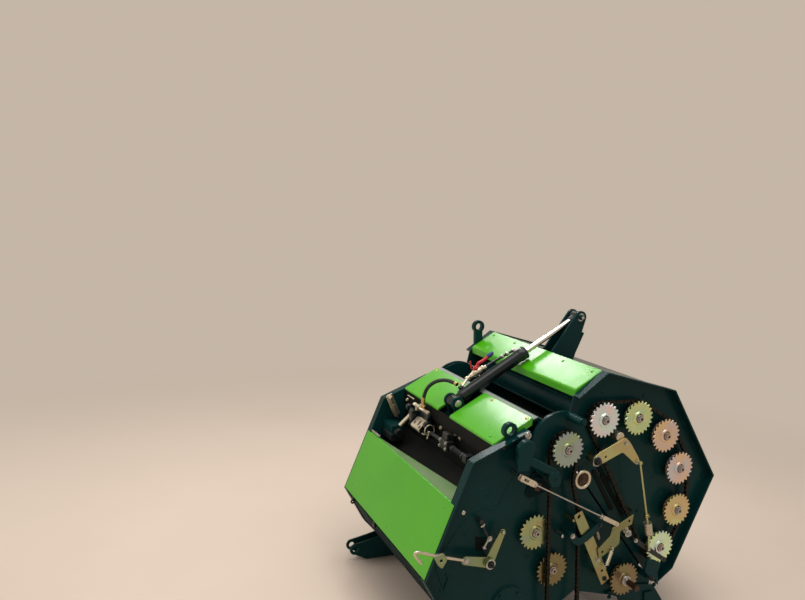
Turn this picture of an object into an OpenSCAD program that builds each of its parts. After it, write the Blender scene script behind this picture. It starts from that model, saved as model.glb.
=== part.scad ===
// Compact round baler with a fixed roller chamber and a tailgate lifted by one cylinder.
// Every outline is drawn in the side view as [forward, up], measured from the bale chamber's
// centre. X runs forward, Y to the machine's left, Z up, and the floor is at Z = 0.

/* [Bale chamber] */
// Clear width between the side plates
chamber_w = 700; // [500:10:1000]
// Radius of the ring on which the roller axes stand
ring_r = 302; // [298:1:308]
// Radius of a roller tube without its ribs
tube_r = 49; // [40:1:52]
// Height of the ribs along a roller tube
rib_h = 6; // [3:1:8]
// Radius of a roller shaft
shaft_r = 15; // [12:0.5:18]
// Height of the chamber's centre above the floor
centre_h = 471; // [465:1:478]

/* [Side plates] */
// Thickness of the side plates
plate_t = 6; // [4:1:8]
// Width of the edge strip that stands out from a side plate
edge_w = 28; // [20:1:34]
// Thickness of that edge strip
edge_t = 5; // [3:1:8]
// Gap between the fixed plate and the tailgate plate
part_gap = 8; // [6:1:14]
// Height of a bearing housing on a side plate
housing_h = 12; // [8:1:14]
// Radius of a bearing housing
housing_r = 30; // [28:1:31]

/* [Sheet covers] */
// Thickness of the covers and panels
sheet_t = 3; // [2:0.5:4]
// Depth of the turned-down edge of a cover
lip_h = 26; // [15:1:32]

/* [Sprockets and chains] */
// Number of teeth on a sprocket
teeth = 22; // [18:1:24]
// Chain pitch
pitch = 15.875; // [12.7:0.1:16]
// Thickness of a sprocket
sprocket_t = 8; // [5:0.5:9]
// Distance from one chain row to the next
row_step = 15; // [13:0.5:18]
// Width of a chain
chain_t = 9; // [6:0.5:10]
// Height of a chain
chain_h = 13; // [10:0.5:14]
// Running gap between a chain and the wheel under it
chain_gap = 0.8; // [0.5:0.1:1]

/* [Tailgate cylinder] */
// Outer radius of the cylinder barrel
barrel_r = 23; // [20:1:23]
// Length of the barrel from its pin to its mouth
barrel_l = 336; // [300:1:380]
// Radius of the piston rod
rod_r = 11; // [8:0.5:14]
// Radius of the cylinder pins
cyl_pin_r = 10; // [8:0.5:12]
// Distance between the two cheeks of the tailgate lever
fork_gap = 44; // [36:1:60]
// Thickness of a cheek
cheek_t = 8; // [5:1:12]

/* [Pickup] */
// Radius at the tips of the pickup tines
tine_tip_r = 108; // [95:1:109]
// Radius of the pickup tube
pick_tube_r = 30; // [24:1:40]
// Radius of a pickup tine
tine_r = 3; // [2.5:0.5:4]
// Number of tine pairs along one bar
tine_rows = 8; // [4:1:10]

/* [Hitch and feet] */
// Radius of the lower hitch pin holes
hitch_hole_r = 11.2; // [10:0.1:14]
// Width of a hitch arm
hitch_arm_w = 50; // [40:1:60]
// Radius of the bolt holes in a rear foot
foot_hole_r = 6.5; // [5:0.5:8]
// Radius of the hole in a lifting eye
eye_hole_r = 14; // [12:1:16]

/* [Hidden] */
$fn = 48;
run = 0.05;
eps = 0.5;
inset = 0.1;

half_w = chamber_w / 2;
plate_y = half_w + plate_t;
edge_y = plate_y + edge_w;
roller_half = half_w - 6;
grow = ring_r / 302;
wide = chamber_w / 700;
rib_r = tube_r + rib_h;

// Sprocket sizes from the tooth count and pitch
pitch_r = pitch / (2 * sin(180 / teeth));
tip_r = pitch_r + 0.3 * pitch;
root_r = pitch_r - 0.32 * pitch;
wheel_r = pitch_r - chain_h / 2 - chain_gap;

// Chain rows, counted outwards from the side plate, and the planes of the levers
row_a = plate_y + housing_h + 5;
row_b = row_a + row_step;
row_c = row_b + row_step;
lever_y = row_c + 9;
latch_y = row_b + sprocket_t + 6;
guide_y = plate_y + 52;

// Rollers: [angle on the ring, 1 if the tailgate carries it, sprocket layout]
// Layouts: 0 none, 1 toothed wheel in row a, 2 wheel in row a and toothed in row b,
// 3 wheel in row b and toothed in row c
ROLLERS = [
  [43.6, 0, 3],
  [76.5, 1, 2],
  [104, 1, 2],
  [132.4, 1, 2],
  [161, 1, 2],
  [190.8, 1, 2],
  [218.6, 1, 2],
  [252.6, 0, 2],
  [345.5, 0, 1],
  [314.4, 0, 1],
  [14.5, 0, 0]
];
function axis_at(i) = ring_r * [cos(ROLLERS[i - 1][0]), sin(ROLLERS[i - 1][0])];
pivot = axis_at(1);

// Corners of the fixed side plate, [forward, up]
bay_top = grow * [550, 182];
panel_low = grow * [683, -190];
nose_low = grow * [600, -325];
heel_front = grow * [528, -400];
toe_front = [372, -centre_h];
toe_rear = [326, -centre_h];
belly_front = grow * [93, -322];
belly_rear = grow * [-98, -372];
foot_front = [-152, -centre_h];
foot_rear = [-318, -centre_h];
cover_top = grow * [353, 270];

// Corners of the tailgate plate, [forward, up]
tail_front = grow * [175, 370];
tail_top = grow * [66, 452];
tail_crown = grow * [-236, 380];
tail_back = grow * [-470, 52];
tail_low = grow * [-322, -288];
tail_heel = grow * [-250, -338];

// Panel, cover and beam corners, [forward, up]
panel_top = bay_top + 0.365 * (panel_low - bay_top);
nose_top = panel_low + grow * [-9, -8];
nose_bend = nose_low + grow * [-4, 6];
leg_w = 60;
mid_front = grow * [461, 224];
mid_rear = grow * [324, 303];
slot_half = 46;
beam_at = grow * [402, 190];
beam_box = grow * [60, 44];
lug_in = 22;
valve_at = grow * [487, 153];
twine_at = grow * [478, 130];
lug_t = 10;
cover_lip_low = grow * [163, 363];
cover_lip_top = grow * [166, 388];
torque_at = grow * [-8, 390];
lever_half = fork_gap / 2 + cheek_t;
eye_half = fork_gap / 2 - 6;
neck_r = 18;
barrel_from = 34;
barrel_floor = 60;
rod_from = barrel_l - 90;
port_at = 52;
port_h = barrel_r + 12;
port_y = -32;

// Pickup bearings, bands and tines
pick_shaft_r = 14;
pick_flange_r = 62;
pick_flange_t = 8;
band_r = 78;
band_w = 36;
feed_edge = grow * [250, -290];

tine_span = half_w - 24;
tine_pair = 14;

// Hitch, feet and eyes, [forward, up]
hitch_pin = [grow * 650, 51 - centre_h];
foot_t = 8;
foot_holes = [[grow * -188, 31 - centre_h], [grow * -290, 31 - centre_h]];
eye_t = 10;
eye_at = grow * [414, 269];
eye_foot = grow * [402, 226];
tail_eye_at = grow * [142, 473];
tail_eye_foot = grow * [133, 366];

// Levers, [forward, up]
hose_r = 7;
ribs = 8;
hub_r = 22;
shaft_out = 14;
clevis_at = grow * [362, 118];
fork_low = grow * [-10, -66];
handle_tip = grow * [735, -80];
latch_pivot = grow * [96, 160];
latch_bush = grow * [5, 233];
latch_end = grow * [-80, 143];
spring_top = grow * [-143, -70];
spring_low = grow * [-155, -108];
hook_pin = grow * [-163, -177];

// Idler and slack end of the front chain, [forward, up]
idler_at = grow * [133, 94];
idler_r = 33;
loop_low = grow * [166, -338];
loop_r = 61;
trip_post = grow * [150, -22];
trip_post_r = 6;

// Hinge ring of the tailgate
hinge_r = grow * 116.5;
hinge_bore_r = 40;
hinge_t = 8;
hinge_gap = 6;
sweep_gap = 6;
sleeve_end = plate_y + hinge_gap + hinge_t + 4;
hinge_arm_from = grow * [-146, 0];
hinge_arm_to = grow * [-162, 0];

// Direction of the line on which the two plates part
part_dir = (tail_heel - pivot) / norm(tail_heel - pivot);
part_side = [-part_dir[1], part_dir[0]];
tail_heel_cut = tail_heel - part_side * part_gap / 2;

// Cylinder pins, [forward, up]
base_pin = grow * [424, 262];
rod_pin = grow * [-78, 577];
cyl_l = norm(rod_pin - base_pin);
cyl_angle = atan2(rod_pin[1] - base_pin[1], rod_pin[0] - base_pin[0]);

pick_axis = grow * [360, -325];
lower_edge = pick_axis + [-48, -109];

// Bounds that set the origin below the middle of the machine
long_shaft = lever_y + 48;
front_reach = handle_tip[0];
rear_reach = tail_back[0];
left_reach = long_shaft;
right_reach = edge_y;
origin = [
  -(front_reach + rear_reach) / 2,
  -(left_reach - right_reach) / 2,
  centre_h
];

COLS = [
  ["paint", [0.08, 0.22, 0.24]],
  ["lime", [0.41, 0.71, 0.24]],
  ["zinc", [0.72, 0.66, 0.45]],
  ["chain", [0.2, 0.17, 0.13]],
  ["black", [0.1, 0.1, 0.11]],
  ["chrome", [0.8, 0.8, 0.82]]
];
function tint(name) = COLS[search([name], COLS)[0]][1];

// Place and extrusion helpers

// Gives a piece its colour and moves it from the chamber's centre to the row's origin
module finish(colour) {
  color(tint(colour)) translate(origin) children();
}

// Turns a side-view outline into a solid that spans Y from y0 to y1
module side_slab(y0, y1) {
  translate([0, y1, 0]) rotate([90, 0, 0]) linear_extrude(height = y1 - y0) children();
}

// Solid bar along Y, at the side-view point p
module bar_y(p, r, y0, y1) {
  translate([p[0], y1, p[1]]) rotate([90, 0, 0]) cylinder(r = r, h = y1 - y0);
}

// Flat bar in the side view from a to b, w wide, with round ends
module link_2d(a, b, w) {
  d = norm(b - a);
  translate(a) rotate(atan2(b[1] - a[1], b[0] - a[0])) {
    translate([0, -w / 2]) square([d, w]);
    circle(r = w / 2);
    translate([d, 0]) circle(r = w / 2);
  }
}

// Straight bar w wide along the middle of the line from a to b
module strip_mid(a, b, w) {
  translate(a) rotate(atan2(b[1] - a[1], b[0] - a[0])) translate([0, -w / 2]) square([norm(b - a), w]);
}

// Straight strip of thickness t close beside the line from a to b, on its left if side is 1
module strip_2d(a, b, t, side = 1) {
  translate(a) rotate(atan2(b[1] - a[1], b[0] - a[0]))
    translate([0, side > 0 ? inset : -t - inset]) square([norm(b - a), t]);
}

// Bent sheet of thickness t along a list of corners
module sheet_2d(points, t) {
  for (k = [0:len(points) - 2]) link_2d(points[k], points[k + 1], t);
}

// Round rod between two points of one plane across the machine
module rod_between(a, b, r, y) {
  d = b - a;
  translate([a[0], y, a[1]]) rotate([0, 90 - atan2(d[1], d[0]), 0]) cylinder(r = r, h = norm(d));
}

// Chain path: each wheel is [forward, up, radius, turn], turn 1 if the path wraps it
// counter-clockwise in the side view and -1 if it wraps it the other way
function wheel_step(a, b) = [b[0] - a[0], b[1] - a[1]];
function leave_angle(a, b) =
  let (d = wheel_step(a, b))
  atan2(d[1], d[0]) + acos((b[3] * b[2] - a[3] * a[2]) / norm(d));
function turn_from(w, from, to) =
  w[3] > 0 ? from + ((to - from) % 360 + 360) % 360 : from - ((from - to) % 360 + 360) % 360;
function on_wheel(w, angle) = [w[0], w[1]] - w[3] * w[2] * [cos(angle), sin(angle)];
function belt(wheels, grow, steps = 14) =
  let (
    n = len(wheels),
    grown = [for (w = wheels) [w[0], w[1], w[2] + w[3] * grow, w[3]]]
  )
  [
    for (i = [0:n - 1])
      let (
        w = grown[i],
        from = leave_angle(grown[(i + n - 1) % n], w),
        to = turn_from(w, from, leave_angle(w, grown[(i + 1) % n]))
      )
      for (k = [0:steps]) on_wheel(w, from + (to - from) * k / steps)
  ];

// Even steps round the closed path, and the path's height there: full at a joint, waisted between two
function closed_run(p) = [for (i = 0, s = 0; i <= len(p); s = s + norm(p[(i + 1) % len(p)] - p[i % len(p)]), i = i + 1) s];
function point_at(p, run, s) =
  let (
    k = [for (i = [0:len(p) - 1]) if (run[i] <= s && s < run[i + 1]) i][0],
    t = (s - run[k]) / (run[k + 1] - run[k])
  )
  p[k] * (1 - t) + p[(k + 1) % len(p)] * t;
function link_points(wheels, steps) =
  let (p = belt(wheels, 0, steps), run = closed_run(p), n = 4 * round(run[len(p)] / pitch / 2))
  [for (k = [0:n - 1]) point_at(p, run, run[len(p)] * (k + 0.001) / n)];
function link_edge(joints, side) = [
  for (k = [0:len(joints) - 1])
    let (n = len(joints), d = joints[(k + 1) % n] - joints[(k + n - 1) % n], u = [-d[1], d[0]] / norm(d))
      joints[k] + side * (k % 2 == 0 ? 0.5 : 0.4) * chain_h * u
];

module chain_loop(wheels, row, steps = 14) {
  joints = link_points(wheels, steps);
  side_slab(row + (sprocket_t - chain_t) / 2, row + (sprocket_t + chain_t) / 2)
    difference() {
      polygon(link_edge(joints, -1));
      polygon(link_edge(joints, 1));
    }
}

// Side plates

module fixed_outline() {
  back = part_side * -part_gap / 2;
  polygon([
    cover_top,
    bay_top,
    panel_low,
    nose_low,
    heel_front,
    toe_front,
    toe_rear,
    belly_front,
    belly_rear,
    [grow * -150, 61 - centre_h],
    tail_heel + grow * [6, -20] - back,
    tail_heel - back,
    pivot - back
  ]);
  translate(pivot) circle(r = hinge_r - 5);
  hull() {
    translate(pivot) circle(r = 60);
    translate(cover_top - grow * [60, 20]) circle(r = 10);
  }
}

module tail_outline() {
  fwd = part_side * part_gap / 2;
  difference() {
    polygon([
      tail_front,
      tail_top,
      tail_crown,
      tail_back,
      tail_low,
      tail_heel_cut,
      pivot - fwd,
      pivot + grow * [-30, 80]
    ]);
    translate(pivot) circle(r = hinge_r - 5 + sweep_gap);
  }
}

// Outward strips along the edges of a plate
module edge_strips(corners, side) {
  side_slab(plate_y - eps, edge_y)
    for (k = [0:len(corners) - 2]) strip_2d(corners[k], corners[k + 1], edge_t, side);
}

module housings(on_tail) {
  for (i = [2:len(ROLLERS)])
    if (ROLLERS[i - 1][1] == on_tail)
      bar_y(axis_at(i), housing_r, plate_y - eps, plate_y + housing_h);
}

module shaft_bores(on_tail) {
  for (i = [1:len(ROLLERS)])
    if (ROLLERS[i - 1][1] == on_tail) bar_y(axis_at(i), shaft_r + run, half_w - 1, edge_y);
}

module fixed_plate(with_eye) {
  difference() {
    union() {
      side_slab(half_w, plate_y) fixed_outline();
      edge_strips([cover_top, bay_top, panel_low, nose_low, heel_front, toe_front, toe_rear], -1);
      housings(0);
      bar_y(pivot, hinge_bore_r, plate_y - eps, sleeve_end);
      bar_y(pick_axis, pick_flange_r, plate_y - eps, plate_y + pick_flange_t);
      if (with_eye) side_slab(half_w, plate_y + eye_t) eye_plate_2d(eye_at, eye_foot);
    }
    if (with_eye) bar_y(eye_at, eye_hole_r, half_w - 1, edge_y);
    shaft_bores(0);
    bar_y(pick_axis, pick_shaft_r + run, half_w - 1, edge_y);
  }
}

module tail_plate(with_eye) {
  difference() {
    union() {
      side_slab(half_w, plate_y) tail_outline();
      edge_strips([tail_front, tail_top, tail_crown, tail_back, tail_low, tail_heel_cut], 1);
      housings(1);
      side_slab(plate_y - eps, plate_y + hinge_gap) hinge_spacer();
      if (with_eye)
        side_slab(half_w, plate_y + eye_t) eye_plate_2d(tail_eye_at, tail_eye_foot);
    }
    if (with_eye) bar_y(tail_eye_at, eye_hole_r, half_w - 1, edge_y);
    shaft_bores(1);
  }
}

// Block that carries the hinge ring clear of the fixed plate
module hinge_spacer() {
  link_2d(pivot + hinge_arm_from, pivot + hinge_arm_to, 44);
}

module hinge_ring() {
  difference() {
    side_slab(plate_y + hinge_gap, plate_y + hinge_gap + hinge_t) {
      translate(pivot) circle(r = hinge_r, $fn = 96);
      link_2d(pivot, pivot + hinge_arm_to, 44);
    }
    bar_y(pivot, hinge_bore_r + 2 * run, half_w, edge_y);
  }
}

module both_sides() {
  children();
  mirror([0, 1, 0]) children();
}

// Covers and sheets between the plates

// Sheet bent along the corners, across the whole clear width or the given part of it
module cross_sheet(points, y0 = -half_w, y1 = half_w, t = sheet_t) {
  side_slab(y0, y1) sheet_2d(points, t);
}

module front_panel() finish("lime") {
  cross_sheet([
    panel_top + grow * [-34, -16],
    panel_top,
    panel_low - [edge_t, -edge_t],
    panel_low - grow * [24, 2]
  ]);
}

module nose_sheet() finish("paint") {
  cross_sheet([nose_top, nose_bend]);
  for (s = [0:1]) mirror([0, s, 0])
    cross_sheet([nose_bend, heel_front + grow * [0, 7], toe_front + grow * [-2, 3]], half_w - leg_w, half_w);
}

module mid_cover() finish("lime") {
  difference() {
    union() {
      cross_sheet([mid_front + grow * [0, -50], mid_front, mid_rear, mid_rear + [0, -lip_h]]);
      for (s = [0:1]) mirror([0, s, 0])
        side_slab(half_w - sheet_t, half_w)
          polygon([mid_front, mid_rear, mid_rear + [0, -lip_h], mid_front + grow * [-24, -10]]);
    }
    side_slab(-slot_half, slot_half)
      polygon([mid_front + grow * [-12, 60], mid_front + grow * [-12, -15], grow * [300, 250], grow * [300, 400]]);
  }
}

module cover_beam() finish("paint") {
  cross_sheet([grow * [300, 262], grow * [300, 300], grow * [318, 292]], t = 5);
  side_slab(-half_w, half_w) difference() {
    translate(beam_at - beam_box / 2) square(beam_box);
    translate(beam_at - beam_box / 2 + grow * [4, 4]) square(beam_box - grow * [8, 8]);
  }
  for (s = [0:1]) mirror([0, s, 0])
    difference() {
      side_slab(lug_in, lug_in + lug_t) {
        translate(base_pin) circle(r = 25);
        polygon([
          base_pin + grow * [24, 4],
          [beam_at[0] + 24, beam_at[1] + beam_box[1] / 2],
          [beam_at[0] - 26, beam_at[1] + beam_box[1] / 2],
          base_pin + grow * [-24, 4]
        ]);
      }
      bar_y(base_pin, cyl_pin_r + run, 0, lug_in + lug_t + 1);
    }
}

module bay_tray() finish("paint") {
  cross_sheet([mid_front + grow * [-10, -48], grow * [448, 62], grow * [560, -20], panel_top + grow * [-38, -22]]);
}

// Tying and hydraulic gear in the open bay
module valve_block() finish("black") {
  translate([valve_at[0] - 23.5, -190, valve_at[1] - 31]) cube([48.5, 110, 62]);
  bar_y(valve_at, 16, -210, -62);
  translate([valve_at[0], -120, valve_at[1] + 31]) cylinder(r = 9, h = 34);
  translate([valve_at[0] - 17, -176, valve_at[1] + 31]) cylinder(r = 7, h = 22);
  side_slab(-186, -84) sheet_2d([valve_at - [32, 53], valve_at - [0, 35], valve_at - [0, 29]], 8);
}

module twine_gear() finish("black") {
  bar_y(twine_at, 7, -60, half_w);
  translate([twine_at[0] - 14, 40, twine_at[1] - 18]) cube([30, 60, 36]);
  translate([twine_at[0] - 8, 52, twine_at[1] + 16]) cube([18, 36, 26]);
  translate([twine_at[0] - 20, 210, twine_at[1] - 12]) cube([34, 26, 28]);
  bar_y(grow * [520, 70], 26, -half_w, -half_w + 120);
  side_slab(-half_w, -half_w + 90) translate(grow * [494, 34]) square(grow * [54, 30]);
}

// Hose route in the middle of the machine: [forward, left, up] from the valve's middle, then from the base pin
HOSE = [
  for (p = [[0, -120, 66.5], [1, -119, 87], [-1, -115, 111], [-8, -108, 135], [-21, -98, 153]])
    [valve_at[0] + p[0], p[1], valve_at[1] + p[2]],
  for (p = [[26, -88, 55], [10, -78, 60], [-5, -68, 60], [-17, -57, 57], [-26, -47, 54], [-28.6, -39, 52.2]])
    [base_pin[0] + p[0], p[1], base_pin[1] + p[2]]
];
function along(points, k) =
  let (a = points[max(0, k - 1)], b = points[min(len(points) - 1, k + 1)]) (b - a) / norm(b - a);
function ring_at(points, k, r, n) =
  let (
    d = along(points, k),
    u = cross(d, [0, 1, 0.2]) / norm(cross(d, [0, 1, 0.2])),
    v = cross(d, u)
  )
  [for (j = [0:n - 1]) points[k] + r * (cos(360 * j / n) * u + sin(360 * j / n) * v)];
module tube_along(points, r, n = 10) {
  rings = [for (k = [0:len(points) - 1]) each ring_at(points, k, r, n)];
  last = (len(points) - 1) * n;
  faces = [
    [for (j = [0:n - 1]) j],
    [for (j = [n - 1:-1:0]) last + j],
    for (k = [0:len(points) - 2])
      for (j = [0:n - 1])
        let (a = k * n + j, b = k * n + (j + 1) % n)
          for (t = [[a, a + n, b + n], [a, b + n, b]]) t
  ];
  polyhedron(rings, faces);
}

// Hitch, feet and eyes

module hitch_arm() {
  difference() {
    union() {
      side_slab(half_w - hitch_arm_w, half_w - hitch_arm_w + 6) hitch_outline();
      side_slab(half_w - 6, half_w) hitch_outline();
      cross_sheet([[grow * 420, 16 - centre_h], [grow * 560, 9 - centre_h], [grow * 640, 31 - centre_h]], half_w - hitch_arm_w, half_w, 5);
    }
    bar_y(hitch_pin, hitch_hole_r, 0, edge_y);
  }
}
module hitch_outline() {
  difference() {
    union() {
      polygon([
        [grow * 392, 6 - centre_h], [grow * 600, 6 - centre_h], hitch_pin - [0, 22], hitch_pin + [0, 22],
        [grow * 585, 87 - centre_h], [grow * 530, 101 - centre_h]
      ]);
      translate(hitch_pin) circle(r = 22);
    }
    polygon([
      [grow * 330, -18 - centre_h],
      toe_front + grow * [-1.2, 1.4],
      heel_front + grow * [1.1, 5.5],
      nose_bend + grow * [1.3, -1.2],
      grow * [640, -200],
      grow * [300, -200]
    ]);
  }
}

module rear_foot() {
  difference() {
    union() {
      side_slab(plate_y, plate_y + foot_t) foot_outline();
      side_slab(plate_y, edge_y) strip_2d(foot_front, foot_rear, edge_t, -1);
    }
    for (h = foot_holes) bar_y(h, foot_hole_r, half_w, edge_y);
  }
}
module foot_outline() {
  polygon([
    grow * [-40, -352], belly_rear, foot_front, foot_rear, foot_rear + grow * [-16, 22], tail_heel + grow * [-8, -14],
    tail_heel + grow * [30, -6], grow * [-130, -330]
  ]);
}

module eye_plate_2d(at, foot) {
  translate(at) circle(r = eye_hole_r + 12);
  strip_mid(at, foot, 34);
}

// Pickup

module pickup_frame() finish("paint") {
  for (k = [0:tine_rows])
    side_slab(band_y(k) - band_w / 2, band_y(k) + band_w / 2) band_2d();
  cross_sheet([feed_edge, feed_edge + grow * [-14, -5]]);
  cross_sheet([lower_edge, lower_edge + grow * [12, -6]]);
}
function band_y(k) = -tine_span + 2 * tine_span * k / tine_rows;
module band_2d() {
  translate(pick_axis) difference() {
    circle(r = band_r + 1.5, $fn = 72);
    circle(r = band_r - 1.5, $fn = 72);
    polygon([[0, 0], 200 * [cos(250), sin(250)], grow * [-260, -200], grow * [-260, 200],
             200 * [cos(118), sin(118)]]);
  }
  link_2d(pick_axis + band_r * [cos(118), sin(118)], feed_edge, 3.4);
  link_2d(pick_axis + band_r * [cos(250), sin(250)], lower_edge, 3.4);
}

module pickup_reel() finish("black") {
  bar_y(pick_axis, pick_tube_r, -half_w + 12, half_w - 12);
  bar_y(pick_axis, pick_shaft_r, -plate_y - pick_flange_t, plate_y + pick_flange_t);
  for (q = [0:3])
    translate([pick_axis[0], 0, pick_axis[1]]) rotate([0, 90 * q + 20, 0]) {
      translate([pick_tube_r - 4, -half_w + 14, -3]) cube([30, chamber_w - 28, 6]);
      for (k = [0:tine_rows - 1]) for (s = [-1, 1])
        translate([pick_tube_r + 14, (band_y(k) + band_y(k + 1)) / 2 + s * tine_pair, 5.5])
          rotate([0, 90, 0]) cylinder(r = tine_r, h = tine_tip_r - pick_tube_r - 14);
    }
}

// Rollers and sprockets

function sleeve_of(i) = i == 1 ? sleeve_end : plate_y + housing_h;
function first_row(layout) = layout == 3 ? row_b : row_a;
function last_row(layout) = layout == 1 ? row_a : layout == 2 ? row_b : row_c;
function shaft_end(i) =
  let (layout = ROLLERS[i - 1][2])
  i == 8 ? long_shaft : layout == 0 ? plate_y + housing_h + 6 : last_row(layout) + sprocket_t + shaft_out;

module roller(i) finish("paint") {
  at = axis_at(i);
  layout = ROLLERS[i - 1][2];
  bar_y(at, tube_r, -roller_half, roller_half);
  bar_y(at, shaft_r, -sleeve_of(i), shaft_end(i));
  if (layout > 0) bar_y(at, shaft_r + 6, sleeve_of(i) + 0.6, first_row(layout) - 2);
  for (q = [0:ribs - 1])
    translate([at[0], 0, at[1]]) rotate([0, 360 * q / ribs, 0])
      translate([tube_r - 2, -roller_half, -3]) cube([rib_h + 2, 2 * roller_half, 6]);
}

module toothed_2d() {
  step = 360 / teeth;
  polygon([
    for (k = [0:teeth - 1])
      for (c = [[-0.31, root_r], [-0.13, tip_r], [0.13, tip_r], [0.31, root_r]])
        c[1] * [cos((k + c[0]) * step), sin((k + c[0]) * step)]
  ]);
}

module sprocket(i) finish("zinc") {
  layout = ROLLERS[i - 1][2];
  at = axis_at(i);
  y_in = first_row(layout);
  y_out = last_row(layout);
  difference() {
    union() {
      bar_y(at, hub_r, y_in - 2, y_out + sprocket_t + 4);
      if (layout > 1) bar_y(at, wheel_r, y_in, y_in + sprocket_t);
      side_slab(y_out, y_out + sprocket_t) translate(at) toothed_2d();
    }
    bar_y(at, shaft_r + run, y_in - 5, y_out + 40);
  }
}

// Chain runs: [forward, up, radius, turn]
function chain_wheel(i) = [axis_at(i)[0], axis_at(i)[1], pitch_r, 1];
TAIL_RUN = [for (i = [2:7]) chain_wheel(i)];
FRONT_RUN = [
  chain_wheel(1),
  [idler_at[0], idler_at[1], idler_r + chain_h / 2 + chain_gap, -1],
  [trip_post[0], trip_post[1], trip_post_r + chain_h / 2 + chain_gap, 1],
  [loop_low[0], loop_low[1], loop_r, 1]
];

module idler_ring() finish("zinc") {
  difference() {
    bar_y(idler_at, idler_r, row_b, row_b + sprocket_t);
    bar_y(idler_at, idler_r - 9, row_b + 3, row_b + sprocket_t + 1);
  }
  bar_y(idler_at, 5, plate_y, row_b + 4);
}

// Levers on the left side plate

module clevis_rod() finish("zinc") {
  y = lever_y + 6;
  slope = (fork_low - clevis_at) / norm(fork_low - clevis_at);
  rod_between(clevis_at + 10 * slope, fork_low - 20 * slope, 4, y);
  difference() {
    side_slab(y - 8, y + 8) strip_mid(clevis_at - 42 * slope, clevis_at + 22 * slope, 20);
    side_slab(y - 4.5, y + 4.5) strip_mid(clevis_at - 50 * slope, clevis_at, 30);
  }
  side_slab(lever_y + 4, y + 8) strip_mid(fork_low - 76 * slope, fork_low, 15);
  bar_y(clevis_at - 30 * slope, 6, plate_y, y + 12);
}

module trip_bar() finish("zinc") {
  side_slab(lever_y - 8, lever_y - 2)
    polygon(grow * [[167, -20], [137, -5], [98, -71], [73, -111], [-10, -265], [21, -285], [111, -125], [143, -70]]);
  bar_y(grow * [51, -189], 9, plate_y, lever_y - 2);
  bar_y(grow * [12, -262], 8, plate_y, lever_y - 2);
  bar_y(trip_post, trip_post_r, plate_y, lever_y);
}

module trip_lever() finish("zinc") {
  side_slab(lever_y - 2, lever_y + 4)
    polygon(grow * [
      [49, -182], [59, -148], [12, -106], [6, -76], [-15, -71], [-80, -39], [-77, -76], [-44, -87], [-29, -96],
      [-31, -139], [-17, -150]
    ]);
  bar_y(grow * [2, -92], 7, lever_y - 2, lever_y + 12);
}

// Curved strap that keeps the trip bar close to the plate
module trip_strap() finish("paint") {
  side_slab(lever_y, lever_y + 6)
    sheet_2d(grow * [[172, -86], [160, -105], [138, -113], [112, -101], [62, -62]], 17);
  bar_y(grow * [172, -86], 6, plate_y, lever_y + 1);
  bar_y(grow * [62, -62], 6, plate_y, lever_y + 1);
}

// Tapered flat bar with round ends
module taper_2d(a, ra, b, rb) {
  n = [a[1] - b[1], b[0] - a[0]] / norm(b - a);
  translate(a) circle(r = ra);
  translate(b) circle(r = rb);
  polygon([a + ra * n, a - ra * n, b - rb * n, b + rb * n]);
}

module bell_crank() finish("zinc") {
  y = edge_y + 3;
  side_slab(y, y + 6) {
    taper_2d(grow * [467, -149], 18, grow * [426, -52], 10);
    taper_2d(grow * [467, -149], 18, grow * [552, -131], 14);
  }
  bar_y(grow * [467, -149], 13, plate_y, y + 16);
  bar_y(grow * [426, -52], 7, y, y + 12);
  side_slab(y - 2, y + 8) {
    link_2d(grow * [552, -131], handle_tip - grow * [5, 0], 10);
    link_2d(handle_tip - grow * [5, 0], handle_tip + grow * [-31, -38], 10);
  }
  side_slab(y - 1, y + 10) polygon(grow * [[665, -102], [635, -90], [618, -115], [635, -145], [652, -128]]);
}

module guide_bracket() finish("paint") {
  difference() {
    side_slab(plate_y, plate_y + 60) link_2d(grow * [364, 224], grow * [357, 160], 40);
    side_slab(plate_y - 1, plate_y + 56) link_2d(grow * [364, 224], grow * [357, 160], 32);
  }
  side_slab(guide_y - 4, guide_y + 8) {
    link_2d(grow * [345, 178], grow * [272, 134], 26);
    link_2d(grow * [267, 128], grow * [257, 111], 40);
  }
}

module latch_lever() finish("zinc") {
  side_slab(latch_y, latch_y + 7)
    polygon(grow * [
      [112, 144], [112, 174], [86, 191], [-14, 234], [-36, 215], [-83, 154], [-79, 133], [-69, 136], [-7, 183],
      [72, 150], [91, 142]
    ]);
  bar_y(latch_pivot, 12, plate_y, latch_y + 14);
  bar_y(latch_bush, 13, plate_y, latch_y);
}

// Pull rod with its spring, and the hook bar that it moves
module latch_rod() finish("zinc") {
  y = latch_y + 14;
  rod_between(latch_end, spring_top, 4, y);
  bar_y(latch_end, 7, latch_y + 7, latch_y + 20);
  rod_between(spring_top, spring_low, 12, y);
  rod_between(spring_low, hook_pin, 4, y);
  bar_y(hook_pin, 6, latch_y + 5, latch_y + 20);
  side_slab(latch_y + 3, latch_y + 9) sheet_2d(grow * [[-104, -139], [-164, -178], [-212, -208], [-251, -232]], 16);
  bar_y(grow * [-104, -139], 7, plate_y, latch_y + 12);
  bar_y(grow * [-66, -101], 12.5, plate_y, lever_y - 8);
}

// Catch on the fixed plate, over which the hook bar closes
module latch_catch() finish("paint") {
  side_slab(latch_y + 11, latch_y + 20)
    polygon(grow * [[-154, -255], [-161, -212], [-201, -222], [-223, -236], [-214, -268], [-224, -318], [-178, -280]]);
  bar_y(grow * [-188, -286], 12, plate_y, latch_y + 12);
}

// Tailgate frame

module tail_cover() finish("lime") {
  cross_sheet([cover_lip_low, cover_lip_top, tail_top - grow * [0, 2]]);
  for (s = [0:1]) mirror([0, s, 0])
    side_slab(half_w - sheet_t, half_w)
      polygon([cover_lip_low, cover_lip_top, tail_top, tail_front + grow * [-8, 0]]);
}

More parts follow.
